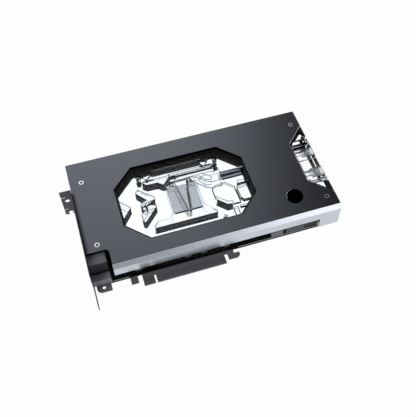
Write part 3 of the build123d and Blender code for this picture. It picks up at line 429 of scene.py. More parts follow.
# thin metal on contacts, pins and solder: dim grey, gold and matte white; and a pale rim finish, which is
# painted highlight on the board's front edge and on the port notch's bevel
CONTACT = Finish("contact_plate_dark", "#7e8085", 0.4, 0.42, Grain.POLISHED, 0.5, 0.002, 0.05)
GOLD = Finish("gold_flash", "#d9b463", 1.0, 0.25, Grain.POLISHED, 0.4, 0.002, 0.05)
TIN = Finish("matte_tin", "#c4c6c8", 1.0, 0.38, Grain.POLISHED, 0.3, 0.004, 0.08)
PALE_RIM_HIGHLIGHT = Finish("pale_rim_painted_highlight", "#f2f3f5", 0.1, 0.5, Grain.POLISHED, 0.3, 0.002, 0.06)

NODE_FINISHES: dict[str, Finish] = {
    "cover_plate": COVER,
    "badge": BADGE,
    "side_band": BAND,
    "flow_plate": ACRYLIC,
    "terminal_block": ACRYLIC,
    "cold_plate": NICKEL,
    "main_seal": RUBBER,
    "port_seals": RUBBER,
    "end_frame": ACETAL,
    "circuit_board": BOARD,
    "io_bracket": BRACKET,
    "stacked_connector": STACK_SIDE,
    "low_connector": LOW_SHELL,
    "display_connector_1": SHELL,
    "display_connector_2": SHELL,
    "gpu_package": PACKAGE,
    "gpu_die": SILICON,
    "thermal_paste": PASTE,
    "memory_chips": CHIP,
    "memory_pads": PAD,
    "chokes": POWDER,
    "choke_pads": PAD,
    "power_stages": CHIP,
    "stage_pads": PAD,
    "capacitors": CAN,
    "edge_inductors": MOULDED_GREY,
    "power_socket_1": HOUSING,
    "power_socket_2": HOUSING,
    "standoffs": STEEL,
    "cover_screws": POLISHED_STEEL,
    "flow_screws": STEEL,
    "terminal_bolts": BLACK_STEEL,
    "backplate": BACKPLATE,
    "backplate_pads": PAD,
    "backplate_screws": BLACK_STEEL,
}


class Workshop:
    """Builds materials once and finishes pieces made with Blender's own tools."""

    def __init__(self) -> None:
        """Start with no materials built."""
        self.built: dict[str, bpy.types.Material] = {}
        self.count = 0

    def material(self, finish: Finish) -> bpy.types.Material:
        """Build a finish's material at its first use.

        Args:
            finish: the finish.

        Returns:
            The material.
        """
        if finish.name not in self.built:
            self.built[finish.name] = finish.build()
        return self.built[finish.name]

    def mode(self, name: str) -> None:
        """Switch the active object to EDIT or OBJECT mode."""
        bpy.ops.object.mode_set(mode=name)

    def clear_selection(self) -> None:
        """Leave edit mode and deselect everything."""
        if bpy.context.object and bpy.context.object.mode != "OBJECT":
            self.mode("OBJECT")
        bpy.ops.object.select_all(action="DESELECT")

    def pick(self, pieces: Sequence[bpy.types.Object]) -> None:
        """Select pieces and make the first one active.

        Args:
            pieces: the objects.
        """
        self.clear_selection()
        for piece in pieces:
            piece.select_set(True)
        bpy.context.view_layer.objects.active = pieces[0]

    def block(self, size: Point, middle: Point, bevel: float = 0.0) -> bpy.types.Object:
        """Add a block with bevelled edges.

        Args:
            size: length, width and height.
            middle: its centre.
            bevel: width of the bevel, or 0 for sharp edges.

        Returns:
            The new object, selected.
        """
        self.clear_selection()
        bpy.ops.mesh.primitive_cube_add(size=1, location=[c * MM for c in middle])
        piece = bpy.context.object
        piece.scale = [s * MM for s in size]
        bpy.ops.object.transform_apply(location=False, rotation=False, scale=True)
        if bevel > 0:
            self.bevel(piece, bevel)
        return piece

    def polygon(self, points: Sequence[Flat], level: float) -> bpy.types.Object:
        """Add a flat face with many corners.

        Args:
            points: its corners, anticlockwise seen from above.
            level: its level.

        Returns:
            The new object, selected.
        """
        self.clear_selection()
        bpy.ops.mesh.primitive_circle_add(vertices=len(points), radius=0.01, fill_type="NGON")
        sheet = bpy.context.object
        for vertex, (x, y) in zip(sheet.data.vertices, points):
            vertex.co = (x * MM, y * MM, level * MM)
        return sheet

    def modify(self, piece: bpy.types.Object, kind: str, **settings: Any) -> None:
        """Add a modifier to a piece and apply it.

        Args:
            piece: the object.
            kind: the modifier's type.
            settings: its properties.
        """
        self.pick([piece])
        modifier = piece.modifiers.new(kind.lower(), kind)
        for name, value in settings.items():
            setattr(modifier, name, value)
        bpy.ops.object.modifier_apply(modifier=modifier.name)

    def bevel(self, piece: bpy.types.Object, width: float, segments: int = 2) -> None:
        """Bevel a piece's sharp edges by a width, in so many steps."""
        self.modify(piece, "BEVEL", width=width * MM, segments=segments, limit_method="ANGLE")

    def row(self, piece: bpy.types.Object, count: int, step: Point) -> None:
        """Repeat a piece's mesh in a row.

        Args:
            piece: the object.
            count: how many there are in the end.
            step: the move from one to the next.
        """
        self.modify(
            piece,
            "ARRAY",
            count=count,
            use_relative_offset=False,
            use_constant_offset=True,
            constant_offset_displace=[s * MM for s in step],
        )

    def finish(
        self,
        pieces: Sequence[bpy.types.Object],
        name: str,
        finish: Finish,
        slot: str,
        smooth: bool = True,
    ) -> bpy.types.Object:
        """Join pieces into one, settle it at the origin, name it, dress it and tie it to the card.

        Args:
            pieces: the objects.
            name: the name of the joined piece.
            finish: its finish.
            slot: not used.
            smooth: whether round faces are shaded smooth.

        Returns:
            The joined piece.
        """
        self.pick(pieces)
        if len(pieces) > 1:
            bpy.ops.object.join()
        piece = bpy.context.object
        bpy.ops.object.transform_apply(location=True, rotation=True, scale=True)
        if smooth:
            bpy.ops.object.shade_smooth_by_angle(angle=math.radians(SMOOTH_ANGLE))
        piece.name = name
        piece.data.name = name
        piece.data.materials.clear()
        piece.data.materials.append(self.material(finish))
        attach(piece, BODY)
        self.count += 1
        LOG.info("piece %s: %d faces", name, len(piece.data.polygons))
        return piece


@dataclass
class FrameSkin:
    """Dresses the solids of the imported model."""

    shop: Workshop
    nodes: dict[str, bpy.types.Object]
    # faces of a node that lie in a box and have a finish of their own. The dull black in the sockets of the
    # cover's screws is painted shade in the recesses
    parts: tuple[tuple[str, Box, Finish], ...] = (
        ("cold_plate", ((-17.4, -17.6, 16.5), (15.2, 16.2, 19.5)), FIN_NICKEL),
        # the near flow screws take a lighter copy of the steel: painted light
        ("flow_screws", ((-60.0, -60.0, 0.0), (60.0, -30.0, 40.0)), LIT_STEEL),
        ("cover_screws", ((-200.0, -200.0, 0.0), (200.0, 200.0, 33.2)), RUBBER),
        # the band's front face takes a lighter copy of the brushed aluminium: painted light
        ("side_band", ((-200.0, -66.5, 0.0), (200.0, -65.85, 28.3)), BAND_FACE_LIT),
        # the connector's top takes a pale copy of its nylon: painted light
        ("stacked_connector", ((-200.0, -200.0, 29.1), (200.0, 200.0, 40.0)), STACK_TOP_LIT),
        # the nearer inductor takes a pale grey, lighter than the other: painted light
        ("edge_inductors", ((70.0, -70.0, 4.7), (87.0, -50.0, 14.0)), PALE_GREY_LIT),
    )
    window_reach: Flat = (75.0, 46.5)
    bevel_levels: Flat = (33.15, 33.68)
    near_tilt: float = 0.25
    notch_from: float = 122.0
    notch_reach: float = 48.0
    notch_tilt: float = 0.15

    def dress(self) -> None:
        """Give each node its finish."""
        for name, node in self.nodes.items():
            finish = NODE_FINISHES[name]
            node.data.materials.clear()
            node.data.materials.append(self.shop.material(finish))
            for face in node.data.polygons:
                face.material_index = 0
            LOG.info("node %s: %s", name, finish.name)
        for name, (low, high), finish in self.parts:
            node = self.nodes[name]
            node.data.materials.append(self.shop.material(finish))
            for face in node.data.polygons:
                middle = face.center / MM
                if all(low[i] <= middle[i] <= high[i] for i in range(3)):
                    face.material_index = 1
        self.dress_window_edge()

    def dress_window_edge(self) -> None:
        """Paint the bevel along the window's near edges black, as painted shade, and the port notch's bevel near
        white, as painted highlight.
        """
        cover = self.nodes["cover_plate"]
        cover.data.materials.append(self.shop.material(WINDOW_EDGE_SHADE))
        cover.data.materials.append(self.shop.material(PALE_RIM_HIGHLIGHT))
        low, high = self.bevel_levels
        for face in cover.data.polygons:
            middle, normal = face.center / MM, face.normal
            inside = abs(middle.x) < self.window_reach[0] and abs(middle.y) < self.window_reach[1]
            if not low < middle.z < high:
                continue
            if inside and normal.y > self.near_tilt:
                face.material_index = 1
            elif middle.x > self.notch_from and abs(middle.y) < self.notch_reach and normal.x > self.notch_tilt:
                face.material_index = 2


@dataclass
class ClearPiece:
    """A clear part, merged to closed flat facets, whose lowest faces stand a hair off what they touch.

    Two pressed faces lie in one plane in the solids, where light cannot tell which comes first.
    A bore is given by the y and z of its axis, its radius, and the x where it starts and ends.
    """

    shop: Workshop
    source: bpy.types.Object
    node: str = "flow_plate"
    seat: float = 19.4
    hair: float = 0.03
    slack: float = 0.005
    merge_reach: float = 0.001
    bores: tuple[Bore, ...] = ((13.1, 24.4, 3.56, 38.0, 124.8), (-14.7, 24.4, 3.56, 78.0, 124.8))

    def is_bored(self, middle: Vector) -> bool:
        """Say whether a face is the wall of a drilled bore.

        Args:
            middle: the face's centre, in millimetres.

        Returns:
            True for a bore's wall.
        """
        return any(
            start < middle.x < end and math.hypot(middle.y - y, middle.z - z) < radius
            for y, z, radius, start, end in self.bores
        )

    def merge(self) -> bpy.types.Object:
        """Copy the node's mesh and merge it.

        Returns:
            The copy, which replaces the node.
        """
        name = f"{self.node}_clear"
        piece = bpy.data.objects.new(name, self.source.data.copy())
        bpy.context.scene.collection.objects.link(piece)
        self.shop.pick([piece])
        self.shop.mode("EDIT")
        bpy.ops.mesh.select_all(action="SELECT")
        bpy.ops.mesh.remove_doubles(threshold=self.merge_reach * MM)
        bpy.ops.mesh.select_all(action="DESELECT")
        self.shop.mode("OBJECT")
        for vertex in piece.data.vertices:
            vertex.select = vertex.co.z < (self.seat + self.slack) * MM
        self.shop.mode("EDIT")
        bpy.ops.mesh.select_mode(type="VERT")
        bpy.ops.transform.translate(value=(0.0, 0.0, self.hair * MM))
        self.shop.mode("OBJECT")
        self.shop.finish([piece], name, ACRYLIC, "clear_acrylic", smooth=False)
        bpy.ops.object.shade_flat()
        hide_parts(self.node)
        return piece


@dataclass
class ClearPlate(ClearPiece):
    """Clear flow plate with its milled channels, and cords along their edges: painted shade and painted
    highlight.
    """

    deepest: float = 9.2
    ceiling_slack: float = 0.05
    polished_top: float = 30.6
    edges: tuple[float, float, float, float] = (-84.0, 125.0, -52.0, 56.0)
    rim: float = 2.5
    screws: tuple[Flat, ...] = ((41.8, 32.3), (-41.8, 32.3), (30.6, -41.0), (-52.0, -44.7))
    screw_room: float = 3.6
    bore_slack: float = 0.01
    polished: tuple[tuple[float, float, float, float], ...] = (
        (7.0, 4.5, 41.9, 21.5),
        (26.5, -45.5, 34.7, -36.5),
    )
    marks: tuple[tuple[str, float, Finish], ...] = (
        ("dark", 0.42, EDGE_LINE_SHADE),
        ("fine", 0.2, EDGE_LINE_GREY_SHADE),
        ("bright", 0.3, EDGE_LINE_HIGHLIGHT),
    )
    wall_tilt: float = 0.3
    ceiling_tilt: float = 0.7
    bright_edge: Point = (37.7, -26.9, 27.4)
    bright_slack: float = 0.05
    fine_slack: float = 0.15
    fine_run: tuple[Flat, ...] = (
        (-17.6, 14.4), (-17.6, -19.4), (-22.7, -25.6), (-35.1, -25.6), (-40.3, -30.8), (-40.3, -32.9),
        (25.3, -32.9), (25.3, -30.8), (14.9, -19.6), (14.9, 15.2), (8.3, 15.2), (6.4, 12.8), (1.7, -20.2),
        (-0.4, -22.2), (-2.4, -22.2), (-4.0, -20.2), (-8.4, 14.4),
    )

    def is_channel(self, middle: Vector) -> bool:
        """Say whether a face lies in a channel: not on the plate's outside, at a screw or in a bore.

        Args:
            middle: the face's centre, in millimetres.

        Returns:
            True for a channel's wall or ceiling.
        """
        left, right, front, back = self.edges
        if not self.seat + 2 * self.hair < middle.z < self.seat + self.deepest + self.ceiling_slack:
            return False
        if min(middle.x - left, right - middle.x, middle.y - front, back - middle.y) < self.rim:
            return False
        if any(math.hypot(middle.x - x, middle.y - y) < self.screw_room for x, y in self.screws):
            return False
        return not any(
            middle.x > start - self.bore_slack and math.hypot(middle.y - y, middle.z - z) < radius
            for y, z, radius, start, _ in self.bores
        )

    def is_polished(self, middle: Vector) -> bool:
        """Say whether a face lies where the cuts hardly show, which is read as polished after milling.

        Args:
            middle: the face's centre, in millimetres.

        Returns:
            True for a polished face.
        """
        if not self.seat + 2 * self.hair < middle.z < self.polished_top:
            return False
        return any(x0 < middle.x < x1 and y0 < middle.y < y1 for x0, y0, x1, y1 in self.polished)

    def on_fine_run(self, spot: Vector) -> bool:
        """Say whether a spot lies on the outline of the collecting run, whose edge lines are painted grey.

        Args:
            spot: the place, in millimetres.

        Returns:
            True on the outline.
        """
        for start, end in zip(self.fine_run, self.fine_run[1:] + self.fine_run[:1]):
            a, b = Vector(start), Vector(end)
            share = max(0.0, min(1.0, (spot - a).dot(b - a) / (b - a).length_squared))
            if (a + (b - a) * share - spot).length < self.fine_slack:
                return True
        return False

    def build(self) -> None:
        """Build the plate."""
        plate = self.merge()
        for finish in (WETTED, POLISHED_BORE, PASSAGE):
            plate.data.materials.append(self.shop.material(finish))
        for face in plate.data.polygons:
            face.material_index = int(self.is_channel(face.center / MM))
            if self.is_polished(face.center / MM):
                face.material_index = 2
            elif self.is_bored(face.center / MM):
                face.material_index = 3
        self.mark_edges(plate)

    def ceiling_edges(self, plate: bpy.types.Object) -> dict[str, set[int]]:
        """Sort the edges between the channels' walls and ceilings.

        Args:
            plate: the plate.

        Returns:
            Edge numbers under "dark", "fine" and "bright".
        """
        sides: dict[tuple[int, int], list[int]] = {}
        for face in plate.data.polygons:
            for key in face.edge_keys:
                sides.setdefault(key, []).append(face.index)
        found: dict[str, set[int]] = {"dark": set(), "fine": set(), "bright": set()}
        level, left, right = self.bright_edge
        for edge in plate.data.edges:
            faces = [plate.data.polygons[i] for i in sides.get(tuple(sorted(edge.vertices)), [])]
            if len(faces) != 2 or not all(self.is_channel(f.center / MM) for f in faces):
                continue
            tilts = sorted(abs(f.normal.z) for f in faces)
            if tilts[0] > self.wall_tilt or tilts[1] < self.ceiling_tilt:
                continue
            ends = [plate.data.vertices[i].co / MM for i in edge.vertices]
            middle = (ends[0] + ends[1]) / 2
            if all(abs(end.y - level) < self.bright_slack for end in ends) and left < middle.x < right:
                found["bright"].add(edge.index)
            else:
                found["fine" if self.on_fine_run(middle.xy) else "dark"].add(edge.index)
        return found

    def mark_edges(self, plate: bpy.types.Object) -> None:
        """Lay thin cords along the ceilings' edges, black, grey and near white: painted shade and painted
        highlight.

        Args:
            plate: the plate.
        """
        found = self.ceiling_edges(plate)
        for kind, radius, finish in self.marks:
            if not found[kind]:
                continue
            name = f"painted_edge_lines_{kind}"
            line = bpy.data.objects.new(name, plate.data.copy())
            bpy.context.scene.collection.objects.link(line)
            self.shop.pick([line])
            self.shop.mode("EDIT")
            bpy.ops.mesh.select_mode(type="EDGE")
            bpy.ops.mesh.select_all(action="DESELECT")
            self.shop.mode("OBJECT")
            for edge in line.data.edges:
                edge.select = edge.index in found[kind]
            self.shop.mode("EDIT")
            bpy.ops.mesh.select_all(action="INVERT")
            bpy.ops.mesh.delete(type="EDGE")
            self.shop.mode("OBJECT")
            bpy.ops.object.convert(target="CURVE")
            line = bpy.context.object
            line.data.bevel_depth = radius * MM
            line.data.bevel_resolution = 1
            line.data.use_fill_caps = True
            bpy.ops.object.convert(target="MESH")
            self.shop.finish([bpy.context.object], name, finish, "clear_acrylic")


@dataclass
class ClearTerminal(ClearPiece):
    """Clear terminal block, merged as the plate is, with its ports left as the tap cuts them."""

    node: str = "terminal_block"
    seat: float = 12.9
    bores: tuple[Bore, ...] = ((13.1, 23.0, 5.8, 133.9, 145.9), (-14.7, 23.0, 5.8, 133.9, 145.9))

    def build(self) -> None:
        """Build the block."""
        block = self.merge()
        block.data.materials.append(self.shop.material(DRILLED))
        for face in block.data.polygons:
            face.material_index = int(self.is_bored(face.center / MM))


@dataclass
class CornerFacets:
    """Bright facets in the corners of the cover's end notch, read as polished foil under clear prisms."""

    shop: Workshop
    seat: float = 30.7
    foil: float = 0.3
    prism: float = 1.1
    pane: float = 0.15
    block_height: float = 2.5
    hair: float = 0.03
    edge: float = 0.08
    corners: tuple[tuple[Flat, ...], ...] = (
        ((132.6, 28.3), (145.0, 29.6), (141.3, 36.5)),
        ((130.8, -29.7), (140.3, -39.1), (140.4, -30.9)),
    )
    window: tuple[Flat, ...] = ((140.5, 29.0), (144.2, 29.9), (141.0, 33.0))
    blocks: tuple[tuple[Flat, ...], ...] = (
        ((145.85, 30.4), (145.85, 45.2), (141.0, 40.4)),
        ((141.2, -31.8), (141.2, -42.2), (145.85, -46.8)),
        ((141.2, -31.8), (145.85, -46.8), (145.85, -32.2)),
    )

    def plate(self, points: Sequence[Flat], bottom: float, height: float) -> bpy.types.Object:
        """Build a flat plate with bevelled edges.

        Args:
            points: its corners, anticlockwise seen from above.
            bottom: the level of its underside.
            height: its thickness.

        Returns:
            The plate.
        """
        plate = self.shop.polygon(points, bottom)
        self.shop.mode("EDIT")
        bpy.ops.mesh.select_all(action="SELECT")
        bpy.ops.mesh.extrude_region_move(TRANSFORM_OT_translate={"value": (0.0, 0.0, height * MM)})
        bpy.ops.mesh.select_all(action="SELECT")
        bpy.ops.mesh.normals_make_consistent(inside=False)
        self.shop.mode("OBJECT")
        self.shop.bevel(plate, self.edge, 1)
        return plate

    def build(self) -> None:
        """Build foils, prisms, the dark window in the far foil and the black blocks beside them."""
        prism_seat = self.seat + self.foil + self.hair
        layers = (
            ("corner_foils", self.corners, self.seat, self.foil, NICKEL, "nickel"),
            ("corner_prisms", self.corners, prism_seat, self.prism, ACRYLIC, "clear_acrylic"),
            ("corner_window", (self.window,), prism_seat + self.prism, self.pane, RUBBER, "seal_rubber"),
            ("corner_blocks", self.blocks, self.seat + self.hair, self.block_height, ACETAL, "black_acetal"),
        )
        for name, outlines, bottom, height, finish, slot in layers:
            plates = [self.plate(points, bottom, height) for points in outlines]
            self.shop.finish(plates, name, finish, slot, smooth=False)


@dataclass
class WindowShadeBand:
    """Flat black band that lies on the clear plate along the window's wall: painted shade for the dark
    reflection of the wall.
    """

    shop: Workshop
    length: float = 139.0
    width: float = 90.6
    cut: float = 22.0
    ledge: float = 2.1
    thickness: float = 0.4
    level: float = 31.14
    play: float = 0.05

    def build(self) -> None:
        """Build the gasket."""
        x, y = self.length / 2 - self.play, self.width / 2 - self.play
        outline = [
            (x - self.cut, y), (self.cut - x, y), (-x, y - self.cut), (-x, self.cut - y),
            (self.cut - x, -y), (x - self.cut, -y), (x, self.cut - y), (x, y - self.cut),
        ]
        gasket = self.shop.polygon(outline, self.level)
        self.shop.mode("EDIT")
        bpy.ops.mesh.select_mode(type="FACE")
        bpy.ops.mesh.select_all(action="SELECT")
        bpy.ops.mesh.normals_make_consistent(inside=False)
        bpy.ops.mesh.inset(thickness=self.ledge * MM, depth=0)
        bpy.ops.mesh.delete(type="FACE")
        self.shop.mode("OBJECT")
        self.shop.modify(gasket, "SOLIDIFY", thickness=self.thickness * MM, offset=1.0)
        self.shop.finish([gasket], "window_band_painted_shade", RUBBER, "seal_rubber", smooth=False)


@dataclass
class EdgeContacts:
    """Contact strips on both faces of the board's edge connector, in groups of a start and a count."""

    shop: Workshop
    pitch: float = 1.0
    width: float = 0.7
    length: float = 7.2
    thickness: float = 0.04
    end_y: float = -77.5
    groups: tuple[tuple[float, int], ...] = ((-64.0, 11), (-50.6, 71))

    def build(self) -> None:
        """Build the strips."""
        strips = []
        for level in (BOARD_BOTTOM - self.thickness / 2, BOARD_TOP + self.thickness / 2):
            for start, count in self.groups:
                middle = (start + self.width / 2, self.end_y + self.length / 2, level)
                strip = self.shop.block((self.width, self.length, self.thickness), middle)
                self.shop.row(strip, count, (self.pitch, 0.0, 0.0))
                strips.append(strip)
        self.shop.finish(strips, "edge_contacts", CONTACT, "board_laminate", smooth=False)


@dataclass
class BoardEdgeHighlight:
    """Pale strip that runs just inside the board's front edge, broken at tabs and fingers: painted highlight on
    the lit edge of the board.
    """

    shop: Workshop
    runs: tuple[Flat, ...] = ((-95.0, -77.0), (37.0, 123.0))
    middle_y: float = -64.35
    width: float = 0.8
    thickness: float = 0.03

    def build(self) -> None:
        """Build the line."""
        runs = []
        for start, end in self.runs:
            middle = ((start + end) / 2, self.middle_y, BOARD_TOP + self.thickness / 2)
            runs.append(self.shop.block((end - start, self.width, self.thickness), middle))
        self.shop.finish(runs, "board_edge_painted_highlight", PALE_RIM_HIGHLIGHT, "board_laminate", smooth=False)


@dataclass
class PortThreads:
    """Ridges in the two ports at the real pitch of a G1/4 thread, as rings in place of a helix."""

    shop: Workshop
    first_x: float = 144.4
    pitch: float = 1.337
    turns: int = 8
    core_radius: float = 5.72
    ridge: float = 0.28
    sunk: float = 0.6
    ports: tuple[Flat, ...] = ((13.1, 23.0), (-14.7, 23.0))

    def build(self) -> None:
        """Build one stack of ridges for each port."""
        for number, (y, z) in enumerate(self.ports, start=1):
            self.shop.clear_selection()
            bpy.ops.mesh.primitive_torus_add(
                major_segments=48,
                minor_segments=8,
                major_radius=(self.core_radius - self.ridge * self.sunk) * MM,
                minor_radius=self.ridge * MM,
                location=(self.first_x * MM, y * MM, z * MM),
                rotation=(0.0, math.pi / 2, 0.0),
            )
            ring = bpy.context.object
            bpy.ops.object.transform_apply(location=False, rotation=True, scale=True)
            self.shop.row(ring, self.turns, (-self.pitch, 0.0, 0.0))
            self.shop.finish([ring], f"port_thread_{number}", ACRYLIC, "clear_acrylic")


@dataclass
class BadgeRim:
    """Turned rim round the blank badge, with a bright arc of polished steel that is painted highlight."""

    shop: Workshop
    centre: Flat = (104.5, -41.0)
    radius: float = 8.45
    thickness: float = 0.22
    level: float = 34.3
    highlight_way: Flat = (-0.75, 0.66)
    highlight_reach: float = 0.62

    def build(self) -> None:
        """Build the rim."""
        self.shop.clear_selection()
        bpy.ops.mesh.primitive_torus_add(
            major_segments=96,
            minor_segments=10,
            major_radius=(self.radius - self.thickness) * MM,
            minor_radius=self.thickness * MM,
            location=(self.centre[0] * MM, self.centre[1] * MM, self.level * MM),
        )
        rim = self.shop.finish([bpy.context.object], "badge_rim", BADGE, "badge_black")
        # the arc's faces take polished steel: painted highlight
        rim.data.materials.append(self.shop.material(POLISHED_STEEL))
        way = Vector(self.highlight_way).normalized()
        for face in rim.data.polygons:
            spoke = (face.center / MM - Vector((*self.centre, 0.0))).xy
            if spoke.normalized().dot(way) > self.highlight_reach:
                face.material_index = 1


@dataclass
class PanScrews:
    """Pan-head screws with a round recess, which hold the bracket's ears to the board."""

    shop: Workshop
    places: tuple[Flat, ...] = ((-105.6, -13.0), (-105.6, 9.0))
    seat: float = 5.46
    radius: float = 1.7
    height: float = 1.4
    rim: float = 0.9
    recess: float = 0.8
    edge: float = 0.15

    def sink_recess(self, screw: bpy.types.Object) -> None:
        """Inset the top of a screw's head and push it in.

        Args:
            screw: the screw.
        """
        self.shop.pick([screw])
        self.shop.mode("EDIT")
        bpy.ops.mesh.select_all(action="DESELECT")
        bpy.ops.mesh.select_mode(type="FACE")
        self.shop.mode("OBJECT")
        for face in screw.data.polygons:
            face.select = face.normal.z > FACING
        self.shop.mode("EDIT")
        bpy.ops.mesh.inset(thickness=self.rim * MM, depth=0)
        bpy.ops.mesh.extrude_region_move(TRANSFORM_OT_translate={"value": (0.0, 0.0, -self.recess * MM)})
        self.shop.mode("OBJECT")

    def build(self) -> None:
        """Build the screws."""
        screws = []
        for x, y in self.places:
            self.shop.clear_selection()
            bpy.ops.mesh.primitive_cylinder_add(
                vertices=24,
                radius=self.radius * MM,
                depth=self.height * MM,
                location=(x * MM, y * MM, (self.seat + self.height / 2) * MM),
            )
            screw = bpy.context.object
            self.sink_recess(screw)
            self.shop.bevel(screw, self.edge)
            screws.append(screw)
        self.shop.finish(screws, "ear_screws", STEEL, "screw_steel")


@dataclass
class SolderedParts:
    """Small chips and their tinned ends, in rows of a first place, a count and a pitch."""

    shop: Workshop
    rows: tuple[tuple[float, float, int, float], ...] = (
        (-88.0, -61.0, 9, 4.0),
        (-46.0, -61.0, 22, 3.4),
        (36.0, -61.5, 9, 3.8),
        (-88.0, 60.0, 12, 6.0),
    )
    body: Point = (1.6, 0.9, 0.5)
    end: Point = (0.35, 0.95, 0.54)
    end_reach: float = 1.1
    body_edge: float = 0.06
    end_edge: float = 0.05

    def build(self) -> None:
        """Build the chip bodies and their ends."""
        bodies, ends = [], []
        level = BOARD_TOP + self.end[2] / 2
        reach = (self.body[0] - self.end[0]) / 2 * self.end_reach
        for x, y, count, pitch in self.rows:
            bodies.append(self.shop.block(self.body, (x, y, level), self.body_edge))
            for side in (-1, 1):
                ends.append(self.shop.block(self.end, (x + side * reach, y, level), self.end_edge))
            for piece in (bodies[-1], *ends[-2:]):
                self.shop.row(piece, count, (pitch, 0.0, 0.0))
        self.shop.finish(bodies, "chip_bodies", CHIP, "chip_black")
        self.shop.finish(ends, "chip_ends", TIN, "screw_steel")


@dataclass
class DriverChips:
    """Controller chips on the board's front strip, in a pale grey that is painted highlight."""

    shop: Workshop
    width: float = 5.0
    edge: float = 0.12
    # place in x and y, length and height
    places: tuple[tuple[float, float, float, float], ...] = (
        (-15.0, -58.0, 6.0, 1.0),
        (2.0, -58.0, 6.0, 1.0),
        (26.0, -58.0, 6.0, 1.0),
        (-66.0, -58.0, 7.0, 1.2),
    )

    def build(self) -> None:
        """Build the chips."""
        chips = [
            self.shop.block((length, self.width, height), (x, y, BOARD_TOP + height / 2), self.edge)
            for x, y, length, height in self.places
        ]
        self.shop.finish(chips, "driver_chips_painted_highlight", PALE_GREY_LIT, "chip_black")


@dataclass
class ConnectorContacts:
    """Gold contacts on the tongues of the display connectors."""

    shop: Workshop
    left_x: float = -111.2
    length: float = 8.0
    pitch: float = 0.9
    width: float = 0.45
    thickness: float = 0.08
    # middle in y and z, width and half thickness of each tongue
    tongues: tuple[tuple[float, float, float, float], ...] = (
        (-24.0, 8.2, 9.5, 0.525),
        (-2.0, 8.2, 9.5, 0.525),
        (-48.05, 10.75, 8.0, 0.575),
        (-48.05, 23.05, 8.0, 0.575),
    )

    def build(self) -> None:
        """Build the contacts."""
        strips = []
        for y, z, span, half in self.tongues:
            count = int(span / self.pitch) - 1
            start = y - (count - 1) * self.pitch / 2
            for side in (-1, 1):
                middle = (self.left_x + self.length / 2, start, z + side * (half + self.thickness / 2))
                strip = self.shop.block((self.length, self.width, self.thickness), middle)
                self.shop.row(strip, count, (0.0, self.pitch, 0.0))
                strips.append(strip)
        self.shop.finish(strips, "connector_contacts", GOLD, "connector_shell", smooth=False)


@dataclass
class PowerPins:
    """Square pins in the cells of the power sockets."""

    shop: Workshop
    cell_end_y: float = 59.7
    length: float = 7.5
    pitch: float = 4.2
    per_row: int = 4
    pin: float = 1.1
    edge: float = 0.12
    middles: tuple[float, ...] = (65.7, 88.5)
    level: float = 10.8

    def build(self) -> None:
        """Build the pins."""
        pins = []
        for x in self.middles:
            for row in (-0.5, 0.5):
                first_x = x - (self.per_row - 1) / 2 * self.pitch
                middle = (first_x, self.cell_end_y + self.length / 2, self.level + row * self.pitch)
                pin = self.shop.block((self.pin, self.length, self.pin), middle, self.edge)
                self.shop.row(pin, self.per_row, (self.pitch, 0.0, 0.0))
                pins.append(pin)
        self.shop.finish(pins, "power_pins", TIN, "screw_steel")


